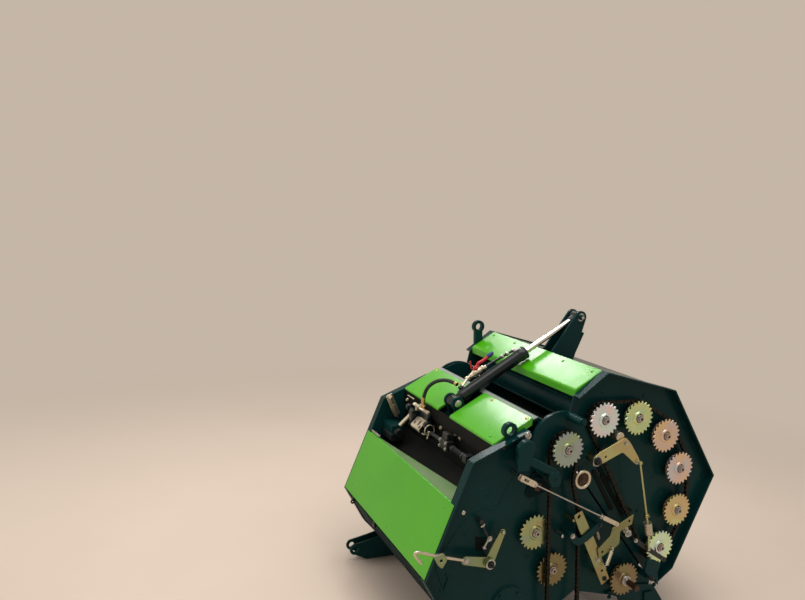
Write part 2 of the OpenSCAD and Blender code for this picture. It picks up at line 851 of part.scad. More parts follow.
module tail_skin() finish("paint") {
  difference() {
    cross_sheet([tail_top + grow * [-4, -6], tail_crown + grow * [3, -7], tail_back + grow * [8, -2]]);
    side_slab(-lever_half - 4, lever_half + 4)
      polygon([tail_top + grow * [2, 60], tail_top + grow * [2, -60], grow * [-78, 380], grow * [-78, 480]]);
  }
}

module tail_beam() finish("paint") {
  bar_y(torque_at, 24, -half_w, half_w);
  bar_y(grow * [-388, -60], 18, -half_w, half_w);
}

module lever_outline() {
  translate(rod_pin) circle(r = 24);
  polygon([
    grow * [42, 444], [torque_at[0] + 24, torque_at[1]], torque_at - grow * [24, 0],
    grow * [-64, 424], rod_pin + grow * [-24, -4], rod_pin + grow * [22, 10]
  ]);
}

module tail_lever() finish("paint") {
  difference() {
    union() {
      for (s = [0:1]) mirror([0, s, 0]) side_slab(fork_gap / 2, lever_half) lever_outline();
      side_slab(-lever_half, lever_half)
        strip_2d(rod_pin + grow * [-22, -60], grow * [-62, 424], 7, 1);
    }
    bar_y(torque_at, 24, -half_w, half_w);
    bar_y(rod_pin, cyl_pin_r, -half_w, half_w);
  }
  for (s = [0:1]) mirror([0, s, 0]) bar_y(rod_pin, cyl_pin_r, fork_gap / 2, lever_half + 12);
}

// Cylinder, drawn along the line from its base pin to the pin of the rod
module on_cylinder() {
  translate([base_pin[0], 0, base_pin[1]]) rotate([0, 90 - cyl_angle, 0]) children();
}

module cylinder_barrel() finish("black") {
  difference() {
    union() {
      on_cylinder() translate([0, 0, 10]) cylinder(r = neck_r, h = barrel_from);
      on_cylinder() translate([0, 0, barrel_from]) cylinder(r = barrel_r, h = barrel_l - barrel_from);
      on_cylinder() translate([0, 0, barrel_l - 26]) cylinder(r = barrel_r + 1, h = 26);
      on_cylinder() translate([0, -17, port_at]) rotate([0, 90, 0]) cylinder(r = 8, h = port_h);
      on_cylinder() translate([port_h - 8, port_y, port_at]) rotate([-90, 0, 0]) cylinder(r = 7, h = -12 - port_y);
      bar_y(base_pin, neck_r + 4, 2 - lug_in, lug_in - 2);
    }
    on_cylinder() translate([0, 0, barrel_floor]) cylinder(r = rod_r + run, h = barrel_l);
  }
  bar_y(base_pin, cyl_pin_r, -lug_in - lug_t - 2, lug_in + lug_t + 2);
  for (s = [0:1]) mirror([0, s, 0])
    bar_y(base_pin, cyl_pin_r + 5, lug_in + lug_t + 1, lug_in + lug_t + 8);
}

module cylinder_rod() finish("chrome") {
  on_cylinder() translate([0, 0, rod_from]) cylinder(r = rod_r, h = cyl_l - rod_from);
  bar_y(rod_pin, 20, -eye_half, eye_half);
}

module front_plate_left() finish("paint") fixed_plate(true);
module front_plate_right() finish("paint") mirror([0, 1, 0]) fixed_plate(false);
module oil_hose() finish("black") tube_along(HOSE, hose_r);
module hitch_arms() finish("paint") both_sides() hitch_arm();
module rear_feet() finish("paint") both_sides() rear_foot();
module front_chain() finish("chain") chain_loop(FRONT_RUN, row_b);
module tail_plate_left() finish("paint") tail_plate(false);
module tail_plate_right() finish("paint") mirror([0, 1, 0]) tail_plate(true);
module hinge_rings() finish("paint") {
  both_sides() hinge_ring();
  bar_y(grow * [195, 306], 14, plate_y + hinge_gap + hinge_t - eps, plate_y + 84);
}
module tail_chain() finish("chain") chain_loop(TAIL_RUN, row_a);

front_plate_left();
front_plate_right();
front_panel();
nose_sheet();
mid_cover();
cover_beam();
bay_tray();
valve_block();
twine_gear();
oil_hose();
hitch_arms();
rear_feet();
pickup_frame();
front_chain();
idler_ring();
clevis_rod();
trip_bar();
trip_lever();
trip_strap();
bell_crank();
guide_bracket();
latch_catch();
pickup_reel();
tail_plate_left();
tail_plate_right();
hinge_rings();
tail_cover();
tail_skin();
tail_beam();
tail_lever();
latch_lever();
latch_rod();
tail_chain();
cylinder_barrel();
cylinder_rod();
for (i = [1:len(ROLLERS)]) roller(i);
for (i = [1:len(ROLLERS) - 1]) sprocket(i);
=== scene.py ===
import math

import bmesh
import bpy
import numpy as np
from mathutils import Matrix, Vector
from mathutils.geometry import tessellate_polygon


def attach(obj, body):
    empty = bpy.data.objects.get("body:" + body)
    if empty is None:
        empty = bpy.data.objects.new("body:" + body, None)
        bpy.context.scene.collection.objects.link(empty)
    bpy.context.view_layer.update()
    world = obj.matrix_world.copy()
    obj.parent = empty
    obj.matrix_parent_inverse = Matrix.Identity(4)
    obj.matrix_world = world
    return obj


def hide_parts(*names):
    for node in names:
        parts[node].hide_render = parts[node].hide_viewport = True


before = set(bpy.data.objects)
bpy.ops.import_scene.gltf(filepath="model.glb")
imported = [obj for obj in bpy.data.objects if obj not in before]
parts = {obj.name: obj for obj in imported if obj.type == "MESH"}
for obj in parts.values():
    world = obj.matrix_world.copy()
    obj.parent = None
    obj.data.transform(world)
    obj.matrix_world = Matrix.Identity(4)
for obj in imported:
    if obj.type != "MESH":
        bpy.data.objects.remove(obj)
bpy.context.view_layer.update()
print("frame loaded,", len(parts), "parts")

# Every place below is [forward, left, up] in millimetres from the middle of the bale chamber
chamberCentre = np.array([-132.5, -38.0, 471.0])
millimetre = 0.001
halfWidth = 350.0  # inner faces of the side plates
plateFace = 356.0  # outer faces
flangeFace = 364.0  # outer faces of the flanges and feet on them
smoothAngle = math.radians(38)
forward, left, up = np.eye(3)


# Camera, lamps and floor

view = {
    "place": (1.4905, 2.144, 1.401),
    "right": (-0.9154, 0.3964, 0.0704),
    "up": (0.0143, -0.1428, 0.9896),
    "look": (-0.4023, -0.9069, -0.1251),
    "lens": 31.53,
}
lensData = bpy.data.cameras.new("photoView")
lensData.lens = view["lens"]
lensData.sensor_width = 36
photoView = bpy.data.objects.new("photoView", lensData)
photoView.matrix_world = Matrix.Translation(view["place"]) @ Matrix(
    (view["right"], view["up"], tuple(-c for c in view["look"]))
).transposed().to_4x4()
bpy.context.scene.collection.objects.link(photoView)
bpy.context.scene.camera = photoView

light = {
    "sky": (0.82, 0.84, 0.86),
    "skyStrength": 0.55,
    "backdrop": (0.56, 0.47, 0.385),
    "floor": (0.72, 0.57, 0.45),
    "fade": (1.5, 3.8),  # where the floor turns into the backdrop, in metres
    "reach": 30.0,
    "lamps": [  # place, aim, size, watts
        ((0.2, 0.3, 3.6), (0.0, 0.0, 0.4), 3.4, 88.0),
        ((3.0, -1.6, 1.9), (0.1, 0.0, 0.5), 1.8, 26.0),
        ((-0.30, -2.95, 3.15), (0.0, 0.1, 0.9), 0.62, 19.5),
    ],
}
for number, (place, aim, size, watts) in enumerate(light["lamps"]):
    lampData = bpy.data.lights.new("softLamp%d" % number, "AREA")
    lampData.energy, lampData.size = watts, size
    lamp = bpy.data.objects.new("softLamp%d" % number, lampData)
    lamp.location = place
    lamp.rotation_mode = "QUATERNION"
    lamp.rotation_quaternion = (Vector(aim) - Vector(place)).to_track_quat("-Z", "Y")
    bpy.context.scene.collection.objects.link(lamp)
print("camera and lamps placed")


# Nodes


def fill(tree, socket, value):
    # The value is another node's output or a plain one; three numbers are a colour
    if isinstance(value, bpy.types.NodeSocket):
        tree.links.new(value, socket)
    else:
        socket.default_value = (*value, 1) if np.size(value) == 3 else value


def addNode(tree, kind, sockets, output=0, **settings):  # gives the named output of a new node
    node = tree.nodes.new("ShaderNode" + kind)
    for key, value in settings.items():
        setattr(node, key, value)
    for key, value in sockets.items():
        fill(tree, node.inputs[key], value)
    return node.outputs[output]


def objectPoint(tree):
    return addNode(tree, "TexCoord", {}, "Object")


def speckle(tree, scale, detail=3.0, rough=0.5):  # noise value at the object's own points
    sockets = {"Vector": objectPoint(tree), "Scale": scale, "Detail": detail, "Roughness": rough}
    return addNode(tree, "TexNoise", sockets, "Fac")


def span(tree, value, low, high, toLow=0.0, toHigh=1.0):  # stretches low..high to toLow..toHigh
    sockets = {"Value": value, "From Min": low, "From Max": high, "To Min": toLow, "To Max": toHigh}
    return addNode(tree, "MapRange", sockets, "Result")


def math2(tree, operation, a, b):
    return addNode(tree, "Math", {0: a, 1: b}, operation=operation)


def blendColours(tree, factor, a, b, how="MIX"):
    return addNode(tree, "Mix", {0: factor, 6: a, 7: b}, 2, data_type="RGBA", blend_type=how)


# Effects that several finishes share: each makes its output of the group's inputs


def drift(tree, put):  # slow change between two colours
    mask = span(tree, speckle(tree, put["Scale"], 4.0, 0.6), 0.32, 0.68)
    return blendColours(tree, mask, put["Colour"], put["Other"])


def wear(tree, put):
    # The mask is 1 where a rounded copy of the surface turns away from the real one, broken up by noise
    soft = addNode(tree, "Bevel", {"Radius": put["Radius"]}, "Normal", samples=4)
    real = addNode(tree, "NewGeometry", {}, "Normal")
    bend = span(tree, addNode(tree, "VectorMath", {0: soft, 1: real}, "Value", operation="DOT_PRODUCT"),
                0.985, 0.80)
    grain = span(tree, speckle(tree, put["Scale"], 5.0, 0.7), 0.45, 0.62)
    return math2(tree, "MULTIPLY", math2(tree, "MULTIPLY", bend, grain), put["Amount"])


def dust(tree, put):  # lies on what faces up, in uneven patches
    normal = addNode(tree, "SeparateXYZ", {0: addNode(tree, "NewGeometry", {}, "Normal")}, "Z")
    patch = span(tree, speckle(tree, put["Scale"], 6.0, 0.65), 0.35, 0.75)
    lying = math2(tree, "MULTIPLY", span(tree, normal, -0.2, 1.0, 0.25, 1.0), patch)
    return math2(tree, "MULTIPLY", lying, put["Amount"])


def sheen(tree, put):  # roughness that wanders between two values
    return span(tree, speckle(tree, put["Scale"], 5.0, 0.6), 0.3, 0.7, put["Low"], put["High"])


def peel(tree, put):  # fine ripple of sprayed paint over slow waves of thin sheet
    fine = math2(tree, "MULTIPLY", speckle(tree, put["Fine"], 2.0), 0.02)
    return math2(tree, "ADD", fine, math2(tree, "MULTIPLY", speckle(tree, put["Slow"], 1.0), put["Wave"]))


platingTones = [
    (0.0, (0.55, 0.49, 0.23)), (0.18, (0.61, 0.46, 0.26)), (0.34, (0.57, 0.44, 0.37)),
    (0.48, (0.46, 0.48, 0.52)),
    (0.62, (0.41, 0.52, 0.46)), (0.78, (0.45, 0.57, 0.29)), (0.92, (0.56, 0.58, 0.28)),
    (1.0, (0.55, 0.49, 0.23)),
]


def plating(tree, put):  # passivated zinc runs from gold over pink and violet to green
    patches = span(tree, speckle(tree, put["Scale"], 3.0, 0.5), 0.33, 0.67, -0.5, 0.5)
    shifted = math2(tree, "ADD", math2(tree, "MULTIPLY", patches, put["Spread"]), put["Shift"])
    tone = math2(tree, "FRACT", math2(tree, "ADD", shifted, 1.0), 0.0)
    ramp = addNode(tree, "ValToRGB", {"Fac": tone}, "Color")
    stops = ramp.node.color_ramp.elements
    while len(stops) < len(platingTones):
        stops.new(0.5)
    for stop, (position, colour) in zip(stops, platingTones):
        stop.position, stop.color = position, (*colour, 1)
    grey = addNode(tree, "CombineXYZ", {axis: put["Shade"] for axis in "XYZ"}, "Vector")
    return blendColours(tree, 1.0, ramp, grey, "MULTIPLY")


def makeGroup(build, name, output, inputs):  # node group with named inputs and one output
    tree = bpy.data.node_groups.new(name, "ShaderNodeTree")
    for label, value in inputs.items():
        kind = "NodeSocketColor" if np.size(value) == 4 else "NodeSocketFloat"
        tree.interface.new_socket(name=label, in_out="INPUT", socket_type=kind).default_value = value
    kind = "NodeSocketColor" if output == "Colour" else "NodeSocketFloat"
    tree.interface.new_socket(name=output, in_out="OUTPUT", socket_type=kind)
    inn, out = tree.nodes.new("NodeGroupInput"), tree.nodes.new("NodeGroupOutput")
    tree.links.new(build(tree, inn.outputs), out.inputs[output])
    return tree


effects = {
    "drift": makeGroup(drift, "colourDrift", "Colour",
                       {"Colour": (1, 1, 1, 1), "Other": (0, 0, 0, 1), "Scale": 6.0}),
    "wear": makeGroup(wear, "edgeWear", "Mask", {"Radius": 0.0015, "Amount": 0.5, "Scale": 60.0}),
    "dust": makeGroup(dust, "dustVeil", "Mask", {"Amount": 0.2, "Scale": 9.0}),
    "sheen": makeGroup(sheen, "rubbedGloss", "Roughness", {"Low": 0.2, "High": 0.4, "Scale": 14.0}),
    "peel": makeGroup(peel, "sprayRipple", "Height", {"Fine": 420.0, "Slow": 5.0, "Wave": 0.5}),
    "plating": makeGroup(plating, "platingTones", "Colour",
                         {"Shift": 0.0, "Spread": 0.5, "Scale": 14.0, "Shade": 1.0}),
}


def effect(tree, name, **values):
    node = tree.nodes.new("ShaderNodeGroup")
    node.node_tree = effects[name]
    for key, value in values.items():
        fill(tree, node.inputs[key], value)
    return node.outputs[0]


# Finishes

dirt = {"bare": (0.30, 0.29, 0.27), "wearScale": 70.0, "tint": (0.34, 0.31, 0.25), "dustScale": 9.0,
        "bump": 0.35}
shine = {"metal": "Metallic", "specular": "Specular IOR Level", "coat": "Coat Weight",
         "coatGloss": "Coat Roughness"}


def makeFinish(name, look):
    # Colour drifts between two tones, wears to bare metal on the edges and carries a veil of dust
    material = bpy.data.materials.new(name)
    material.use_nodes = True
    tree = material.node_tree
    shader = tree.nodes["Principled BSDF"].inputs
    if "plating" in look:
        colour = effect(tree, "plating", **dict(zip(("Shift", "Spread", "Scale", "Shade"), look["plating"])))
    else:
        colour = effect(tree, "drift", **dict(zip(("Colour", "Other", "Scale"), look["tones"])))
    if "wear" in look:
        worn = effect(tree, "wear", Amount=look["wear"], Scale=dirt["wearScale"])
        colour = blendColours(tree, worn, colour, look.get("bare", dirt["bare"]))
    if "dust" in look:
        veil = effect(tree, "dust", Amount=look["dust"], Scale=dirt["dustScale"])
        colour = blendColours(tree, veil, colour, dirt["tint"])
    tree.links.new(colour, shader["Base Color"])
    low, high, scale = look["gloss"]
    tree.links.new(effect(tree, "sheen", Low=low, High=high, Scale=scale), shader["Roughness"])
    fine, slow, wave, depth = look["ripple"]
    height = effect(tree, "peel", Fine=fine, Slow=slow, Wave=wave)
    bump = {"Strength": look.get("bump", dirt["bump"]), "Distance": depth, "Height": height}
    tree.links.new(addNode(tree, "Bump", bump, "Normal"), shader["Normal"])
    for key, label in shine.items():
        if key in look:
            shader[label].default_value = look[key]
    return material


# Two tones and the size of their drift; roughness from, to and its size; fine and slow ripple, wave and
# depth
finishLooks = {
    "tealPaint": dict(tones=((0.0024, 0.0275, 0.0262), (0.0034, 0.0370, 0.0352), 3.0),
                      gloss=(0.24, 0.36, 8.0),
                      ripple=(380.0, 4.0, 0.6, 0.002), wear=0.20, specular=0.09, coat=0.05, coatGloss=0.10),
    "limePaint": dict(tones=((0.072, 0.408, 0.0035), (0.056, 0.348, 0.0025), 2.2), gloss=(0.24, 0.36, 7.0),
                      ripple=(360.0, 3.2, 0.8, 0.002), wear=0.08, specular=0.30, coat=0.42, coatGloss=0.24),
    "blackPaint": dict(tones=((0.0040, 0.0095, 0.0105), (0.0065, 0.0130, 0.0140), 5.0),
                       gloss=(0.16, 0.28, 10.0),
                       ripple=(420.0, 6.0, 0.3, 0.0015), wear=0.16, specular=0.30, coat=0.22,
                       coatGloss=0.05),
    "darkSteel": dict(tones=((0.0080, 0.0125, 0.0125), (0.0170, 0.0210, 0.0200), 9.0),
                      gloss=(0.34, 0.52, 16.0),
                      ripple=(300.0, 12.0, 0.2, 0.002), wear=0.30, dust=0.02, metal=0.25),
    "chainSteel": dict(tones=((0.019, 0.0175, 0.0115), (0.008, 0.0085, 0.0065), 38.0),
                       gloss=(0.30, 0.46, 50.0),
                       ripple=(500.0, 40.0, 0.3, 0.0008), wear=0.35, bare=(0.10, 0.095, 0.075), metal=0.75),
    "rubber": dict(tones=((0.010, 0.010, 0.011), (0.018, 0.018, 0.019), 14.0), gloss=(0.40, 0.55, 20.0),
                   ripple=(700.0, 30.0, 0.1, 0.001), dust=0.10, specular=0.4),
    "chromeRod": dict(tones=((0.74, 0.72, 0.66), (0.66, 0.65, 0.62), 7.0), gloss=(0.10, 0.19, 12.0),
                      ripple=(800.0, 20.0, 0.1, 0.0004), bump=0.1, metal=1.0),
    "brightZinc": dict(tones=((0.56, 0.56, 0.53), (0.42, 0.42, 0.40), 40.0), gloss=(0.22, 0.36, 60.0),
                       ripple=(600.0, 60.0, 0.2, 0.0006), dust=0.08, metal=1.0),
    "brass": dict(tones=((0.62, 0.44, 0.16), (0.48, 0.34, 0.13), 40.0), gloss=(0.24, 0.38, 60.0),
                  ripple=(600.0, 60.0, 0.2, 0.0006), dust=0.08, metal=1.0),
    "rustySteel": dict(tones=((0.085, 0.045, 0.028), (0.040, 0.026, 0.020), 30.0), gloss=(0.28, 0.44, 40.0),
                       ripple=(500.0, 40.0, 0.3, 0.0008), wear=0.5, bare=(0.34, 0.30, 0.25), metal=0.7),
    "creamZinc": dict(tones=((0.72, 0.66, 0.50), (0.60, 0.54, 0.41), 24.0), gloss=(0.26, 0.40, 60.0),
                      ripple=(600.0, 60.0, 0.2, 0.0006), dust=0.04, metal=0.9),
    "shadedPaint": dict(tones=((0.0030, 0.0150, 0.0150), (0.0045, 0.0200, 0.0195), 3.0),
                        gloss=(0.60, 0.75, 8.0),
                        ripple=(380.0, 4.0, 0.6, 0.002), dust=0.02, specular=0.05),
    # near-black painted shade with a brown drift of grime, for the shaded bay, the gap between the plates,
    # the recess by the stop and the apron under the mid cover
    "paintedShadeGrime": dict(tones=((0.0022, 0.0048, 0.0042), (0.0062, 0.0055, 0.0040), 9.0),
                       gloss=(0.50, 0.70, 12.0),
                       ripple=(300.0, 14.0, 0.3, 0.002), specular=0.12),
    # dull olive lime for the panel's top flange: painted shade and reflection on the lime, with dust
    "dustAndShadeLime": dict(tones=((0.105, 0.215, 0.060), (0.150, 0.235, 0.095), 5.0), gloss=(0.45, 0.60, 9.0),
                      ripple=(360.0, 5.0, 0.5, 0.002), dust=0.25, specular=0.2),
    # pale grey for the strip behind the mid cover: painted reflection of the sky, under a veil of dust
    "dustAndReflectionGrey": dict(tones=((0.200, 0.235, 0.205), (0.265, 0.290, 0.250), 7.0), gloss=(0.45, 0.62, 9.0),
                      ripple=(340.0, 6.0, 0.5, 0.002), dust=0.30, specular=0.3),
    "redLever": dict(tones=((0.50, 0.012, 0.014), (0.40, 0.010, 0.012), 20.0), gloss=(0.25, 0.36, 30.0),
                     ripple=(500.0, 30.0, 0.2, 0.0008), dust=0.06),
    "blueCap": dict(tones=((0.012, 0.035, 0.16), (0.010, 0.028, 0.12), 20.0), gloss=(0.30, 0.42, 30.0),
                    ripple=(500.0, 30.0, 0.2, 0.0008), dust=0.06),
    "paleFloor": dict(tones=(light["floor"], tuple(0.94 * c for c in light["floor"]), 0.8),
                      gloss=(0.7, 0.8, 3.0),
                      ripple=(90.0, 3.0, 0.1, 0.002)),
}
platedLook = dict(dust=0.05, wear=0.30, bare=(0.52, 0.50, 0.44), gloss=(0.26, 0.40, 40.0),
                  ripple=(520.0, 30.0, 0.2, 0.0006), metal=1.0)
platings = {  # tone, spread, size of the clouds, brightness; the brightness is matched part by part to the light that falls on it, so it holds painted light and shade
    "leverZinc": (0.93, 0.14, 11.0, 0.84), "latchZinc": (0.03, 0.20, 12.0, 0.95),
    "tripZinc": (0.95, 0.22, 14.0, 0.62),
    "oliveZinc": (0.88, 0.16, 12.0, 0.46), "crankZinc": (0.80, 0.16, 10.0, 0.60),
    "shaftBolt": (0.42, 0.30, 40.0, 0.95),
}
wheelTones = [0.61, 0.52, 0.81, 0.29, 0.36, 0.07, 0.67, 0.13, 0.84, 0.06]
# brightness of each wheel, raised where light falls on it and lowered where it lies in shade: painted light
# and shade
wheelPaintedLight = [0.88, 1.78, 1.36, 1.36, 1.42, 1.16, 1.66, 0.47, 0.74, 0.41]
for number, (tone, shade) in enumerate(zip(wheelTones, wheelPaintedLight), 1):
    platings["sprocketZinc%d" % number] = (tone, 0.30, 20.0, shade)
finishes = {name: makeFinish(name, look) for name, look in finishLooks.items()}
finishes.update({name: makeFinish(name, dict(platedLook, plating=values))
                 for name, values in platings.items()})


def seenDirectly(tree):  # 1 for rays of the camera, of mirrors and of glass
    rays = [addNode(tree, "LightPath", {}, "Is %s Ray" % kind)
            for kind in ("Camera", "Glossy", "Transmission")]
    return math2(tree, "MAXIMUM", math2(tree, "MAXIMUM", rays[0], rays[1]), rays[2])


world = bpy.data.worlds.new("hall")
world.use_nodes = True
hall = world.node_tree
sky = hall.nodes["Background"]
fill(hall, sky.inputs["Color"], light["sky"])
fill(hall, sky.inputs["Strength"], light["skyStrength"])
backdrop = addNode(hall, "Background", {"Color": light["backdrop"]})
either = addNode(hall, "MixShader", {0: seenDirectly(hall), 1: sky.outputs[0], 2: backdrop})
hall.links.new(either, hall.nodes["World Output"].inputs["Surface"])
bpy.context.scene.world = world
bpy.context.scene.view_settings.view_transform = "Standard"

floorTree = finishes["paleFloor"].node_tree
away = addNode(floorTree, "VectorMath", {0: objectPoint(floorTree)}, "Value", operation="LENGTH")
plainFar = addNode(floorTree, "Emission", {"Color": light["backdrop"]})
fade = math2(floorTree, "MULTIPLY", span(floorTree, away, *light["fade"]), seenDirectly(floorTree))
near = floorTree.nodes["Principled BSDF"].outputs[0]
floorMix = addNode(floorTree, "MixShader", {0: fade, 1: near, 2: plainFar})
floorTree.links.new(floorMix, floorTree.nodes["Material Output"].inputs["Surface"])
floorMesh = bpy.data.meshes.new("floor")
floorCorners = [(x * light["reach"], y * light["reach"], 0) for x, y in ((-1, -1), (1, -1), (1, 1), (-1, 1))]
floorMesh.from_pydata(floorCorners, [], [(0, 1, 2, 3)])
floorMesh.materials.append(finishes["paleFloor"])
floor = bpy.data.objects.new("floor", floorMesh)
bpy.context.scene.collection.objects.link(floor)
print("finishes ready:", len(finishes))


# Shapes: each is an array of points in millimetres and a list of faces


def unit(v):  # arrows of length one along the last axis
    v = np.asarray(v, float)
    return v / np.linalg.norm(v, axis=-1, keepdims=True)


def atLeft(points, y):  # side-view points at a distance to the left
    return np.insert(np.asarray(points, float), 1, y, axis=-1)


def gridShape(grid, loopRows=False, capped=True):
    # Rows by looped columns of points become quads between neighbours, and each open end gets one flat face
    rows, cols = grid.shape[:2]
    r, c = np.arange(rows if loopRows else rows - 1)[:, None], np.arange(cols)[None, :]
    n, m = (r + 1) % rows, (c + 1) % cols
    quads = np.stack(np.broadcast_arrays(r * cols + c, n * cols + c, n * cols + m, r * cols + m), -1)
    faces = quads.reshape(-1, 4).tolist()
    if capped and not loopRows:
        faces += [list(range(cols)), list(range((rows - 1) * cols, rows * cols))[::-1]]
    return grid.reshape(-1, 3), faces


def together(shapes):  # one shape from several
    points, faces, first = [], [], 0
    for shapePoints, shapeFaces in shapes:
        points.append(shapePoints)
        faces += [[first + k for k in face] for face in shapeFaces]
        first += len(shapePoints)
    return np.concatenate(points), faces


def copies(shape, places, frames=None):
    # Every point p of the shape becomes p @ frame + place, for all places at once
    points, faces = shape
    places = np.atleast_2d(np.asarray(places, float))
    frames = np.broadcast_to(np.eye(3) if frames is None else frames, (len(places), 3, 3))
    moved = np.einsum("vi,kij->kvj", points, frames) + places[:, None, :]
    allFaces = [[k * len(points) + p for p in face] for k in range(len(places)) for face in faces]
    return moved.reshape(-1, 3), allFaces


def facing(direction):  # frame whose second axis points along the direction
    y = unit(direction)
    x = unit(np.cross(y, up if abs(y[2]) < 0.9 else forward))
    return np.stack([x, y, np.cross(x, y)])


def turned(profile, sides=24, flats=0, ring=False):
    # Pairs of radius and height are carried round the Y axis, and a ring's profile is closed. Rows
    # marked 1 in a third column follow a polygon: its radius is the corner radius times cos(half step)
    # / cos(angle from the flat)
    rows = np.array([list(row) + [0] * (3 - len(row)) for row in profile], float)
    angle = np.arange(sides) * 2 * np.pi / sides
    radius = rows[:, :1] * np.ones(sides)
    if flats:
        half = np.pi / flats
        polygon = np.cos(half) / np.cos(angle % (2 * half) - half)
        radius = np.where(rows[:, 2:] > 0, radius * polygon, radius)
    grid = np.stack(np.broadcast_arrays(radius * np.cos(angle), rows[:, 1:2], radius * np.sin(angle)), -1)
    return gridShape(grid, loopRows=ring)


def spun(profile, place, direction=left, sides=24, flats=0):
    return copies(turned(profile, sides, flats), place, facing(direction))


def hoop(profile, place, sides):  # ring round an axis that points to the left
    return copies(turned(profile, sides, ring=True), place)


def rod(start, end, radius, sides=16, edge=0.8):  # round bar with broken edges between two points
    start, end = np.asarray(start, float), np.asarray(end, float)
    length = np.linalg.norm(end - start)
    rows = [(radius - edge, 0), (radius, edge), (radius, length - edge), (radius - edge, length)]
    return spun(rows, start, end - start, sides)


def tube(path, radius, sides=14, lean=(0.03, 1.0, 0.2)):
    # A circle is carried along the path: point + radius * (cos a * u + sin a * v), u and v square to
    # the path
    path = np.asarray(path, float)
    along = unit(np.gradient(path, axis=0))
    u = unit(np.cross(along, lean))
    v = np.cross(along, u)
    angle = (np.arange(sides) * 2 * np.pi / sides)[:, None]
    radius = np.broadcast_to(radius, len(path))[:, None, None]
    return gridShape(path[:, None] + radius * (np.cos(angle) * u[:, None] + np.sin(angle) * v[:, None]))


def throughPoints(points, steps=6):
    # Cubic curve through the points: each span uses the half differences of its neighbours as slopes
    p = np.asarray(points, float)
    padded = np.concatenate([[2 * p[0] - p[1]], p, [2 * p[-1] - p[-2]]])
    a, b, c, d = padded[:-3, None], padded[1:-2, None], padded[2:-1, None], padded[3:, None]
    t = (np.arange(steps) / steps)[None, :, None]
    curve = 0.5 * (2 * b + (c - a) * t + (2 * a - 5 * b + 4 * c - d) * t**2 + (3 * b - a - 3 * c + d) * t**3)
    return np.concatenate([curve.reshape(-1, p.shape[1]), p[-1:]])


def coil(start, end, radius, wire, turns, sides=8, steps=14):
    # Wire wound on the line from start to end: the angle grows with the distance along the line
    start, end = np.asarray(start, float), np.asarray(end, float)
    axes = facing(end - start)
    t = np.linspace(0, 1, int(turns * steps) + 1)[:, None]
    angle = 2 * np.pi * turns * t
    path = start + (end - start) * t + radius * (np.cos(angle) * axes[0] + np.sin(angle) * axes[2])
    return tube(path, wire, sides, lean=axes[1])


def threaded(start, end, radius, pitch=2.0, sides=12):
    # Rows of a rod alternate between crest and root of a fine thread
    start, end = np.asarray(start, float), np.asarray(end, float)
    count = max(int(np.linalg.norm(end - start) / pitch) * 2, 4)
    path = start + (end - start) * np.linspace(0, 1, count)[:, None]
    return tube(path, radius - 0.45 * (np.arange(count) % 2), sides, lean=facing(end - start)[0])


# Outlines in the side view


def bends(before, corners, after, radius, steps):
    # Each corner gives way to the curve (1-t)^2 a + 2t(1-t) corner + t^2 b, a and b at the radius from it
    a, b = (
        corners + unit(leg) * np.minimum(radius, 0.48 * np.linalg.norm(leg, axis=1))[:, None]
        for leg in (before - corners, after - corners)
    )
    t = np.linspace(0, 1, steps)[None, :, None]
    curve = (1 - t) ** 2 * a[:, None] + 2 * t * (1 - t) * corners[:, None] + t**2 * b[:, None]
    return curve.reshape(-1, corners.shape[1])


def rounded(corners, radius, steps=5):  # closed outline
    p = np.asarray(corners, float)
    return bends(np.roll(p, 1, 0), p, np.roll(p, -1, 0), radius, steps)


def softened(points, radius, steps=5):  # open line between ends that stay
    p = np.asarray(points, float)
    return np.concatenate([p[:1], bends(p[:-2], p[1:-1], p[2:], radius, steps), p[-1:]])


def circleAt(centre, radius, degrees):
    angle = np.radians(degrees)
    return np.asarray(centre, float) + radius * np.stack([np.cos(angle), np.sin(angle)], -1)


def ringAt(centre, radius, count=20):
    return circleAt(centre, radius, np.arange(count) * 360 / count)


def tapered(a, ra, b, rb):
    # Two circles and their outer tangents, which leave both at the angle whose cosine is (ra - rb) /
    # distance
    reach = np.subtract(b, a)
    heading = np.degrees(math.atan2(reach[1], reach[0]))
    opened = np.degrees(math.acos((ra - rb) / np.linalg.norm(reach)))
    first = circleAt(a, ra, heading + np.linspace(opened, 360 - opened, 20))
    return np.concatenate([first, circleAt(b, rb, heading + np.linspace(-opened, opened, 20))])


def barOutline(a, b, width):
    a, b = np.asarray(a, float), np.asarray(b, float)
    across = np.array([-(b - a)[1], (b - a)[0]]) / np.linalg.norm(b - a) * width / 2
    return np.stack([a - across, b - across, b + across, a + across])


def boxOutline(x0, x1, z0, z1):
    return [(x0, z0), (x1, z0), (x1, z1), (x0, z1)]


def ribbon(points, width):
    # Outline of a strip of even width with square ends, the line moved half the width to each side
    p = np.asarray(points, float)
    along = unit(np.gradient(p, axis=0))
    side = np.stack([-along[:, 1], along[:, 0]], -1) * width / 2
    return np.concatenate([p - side, (p + side)[::-1]])


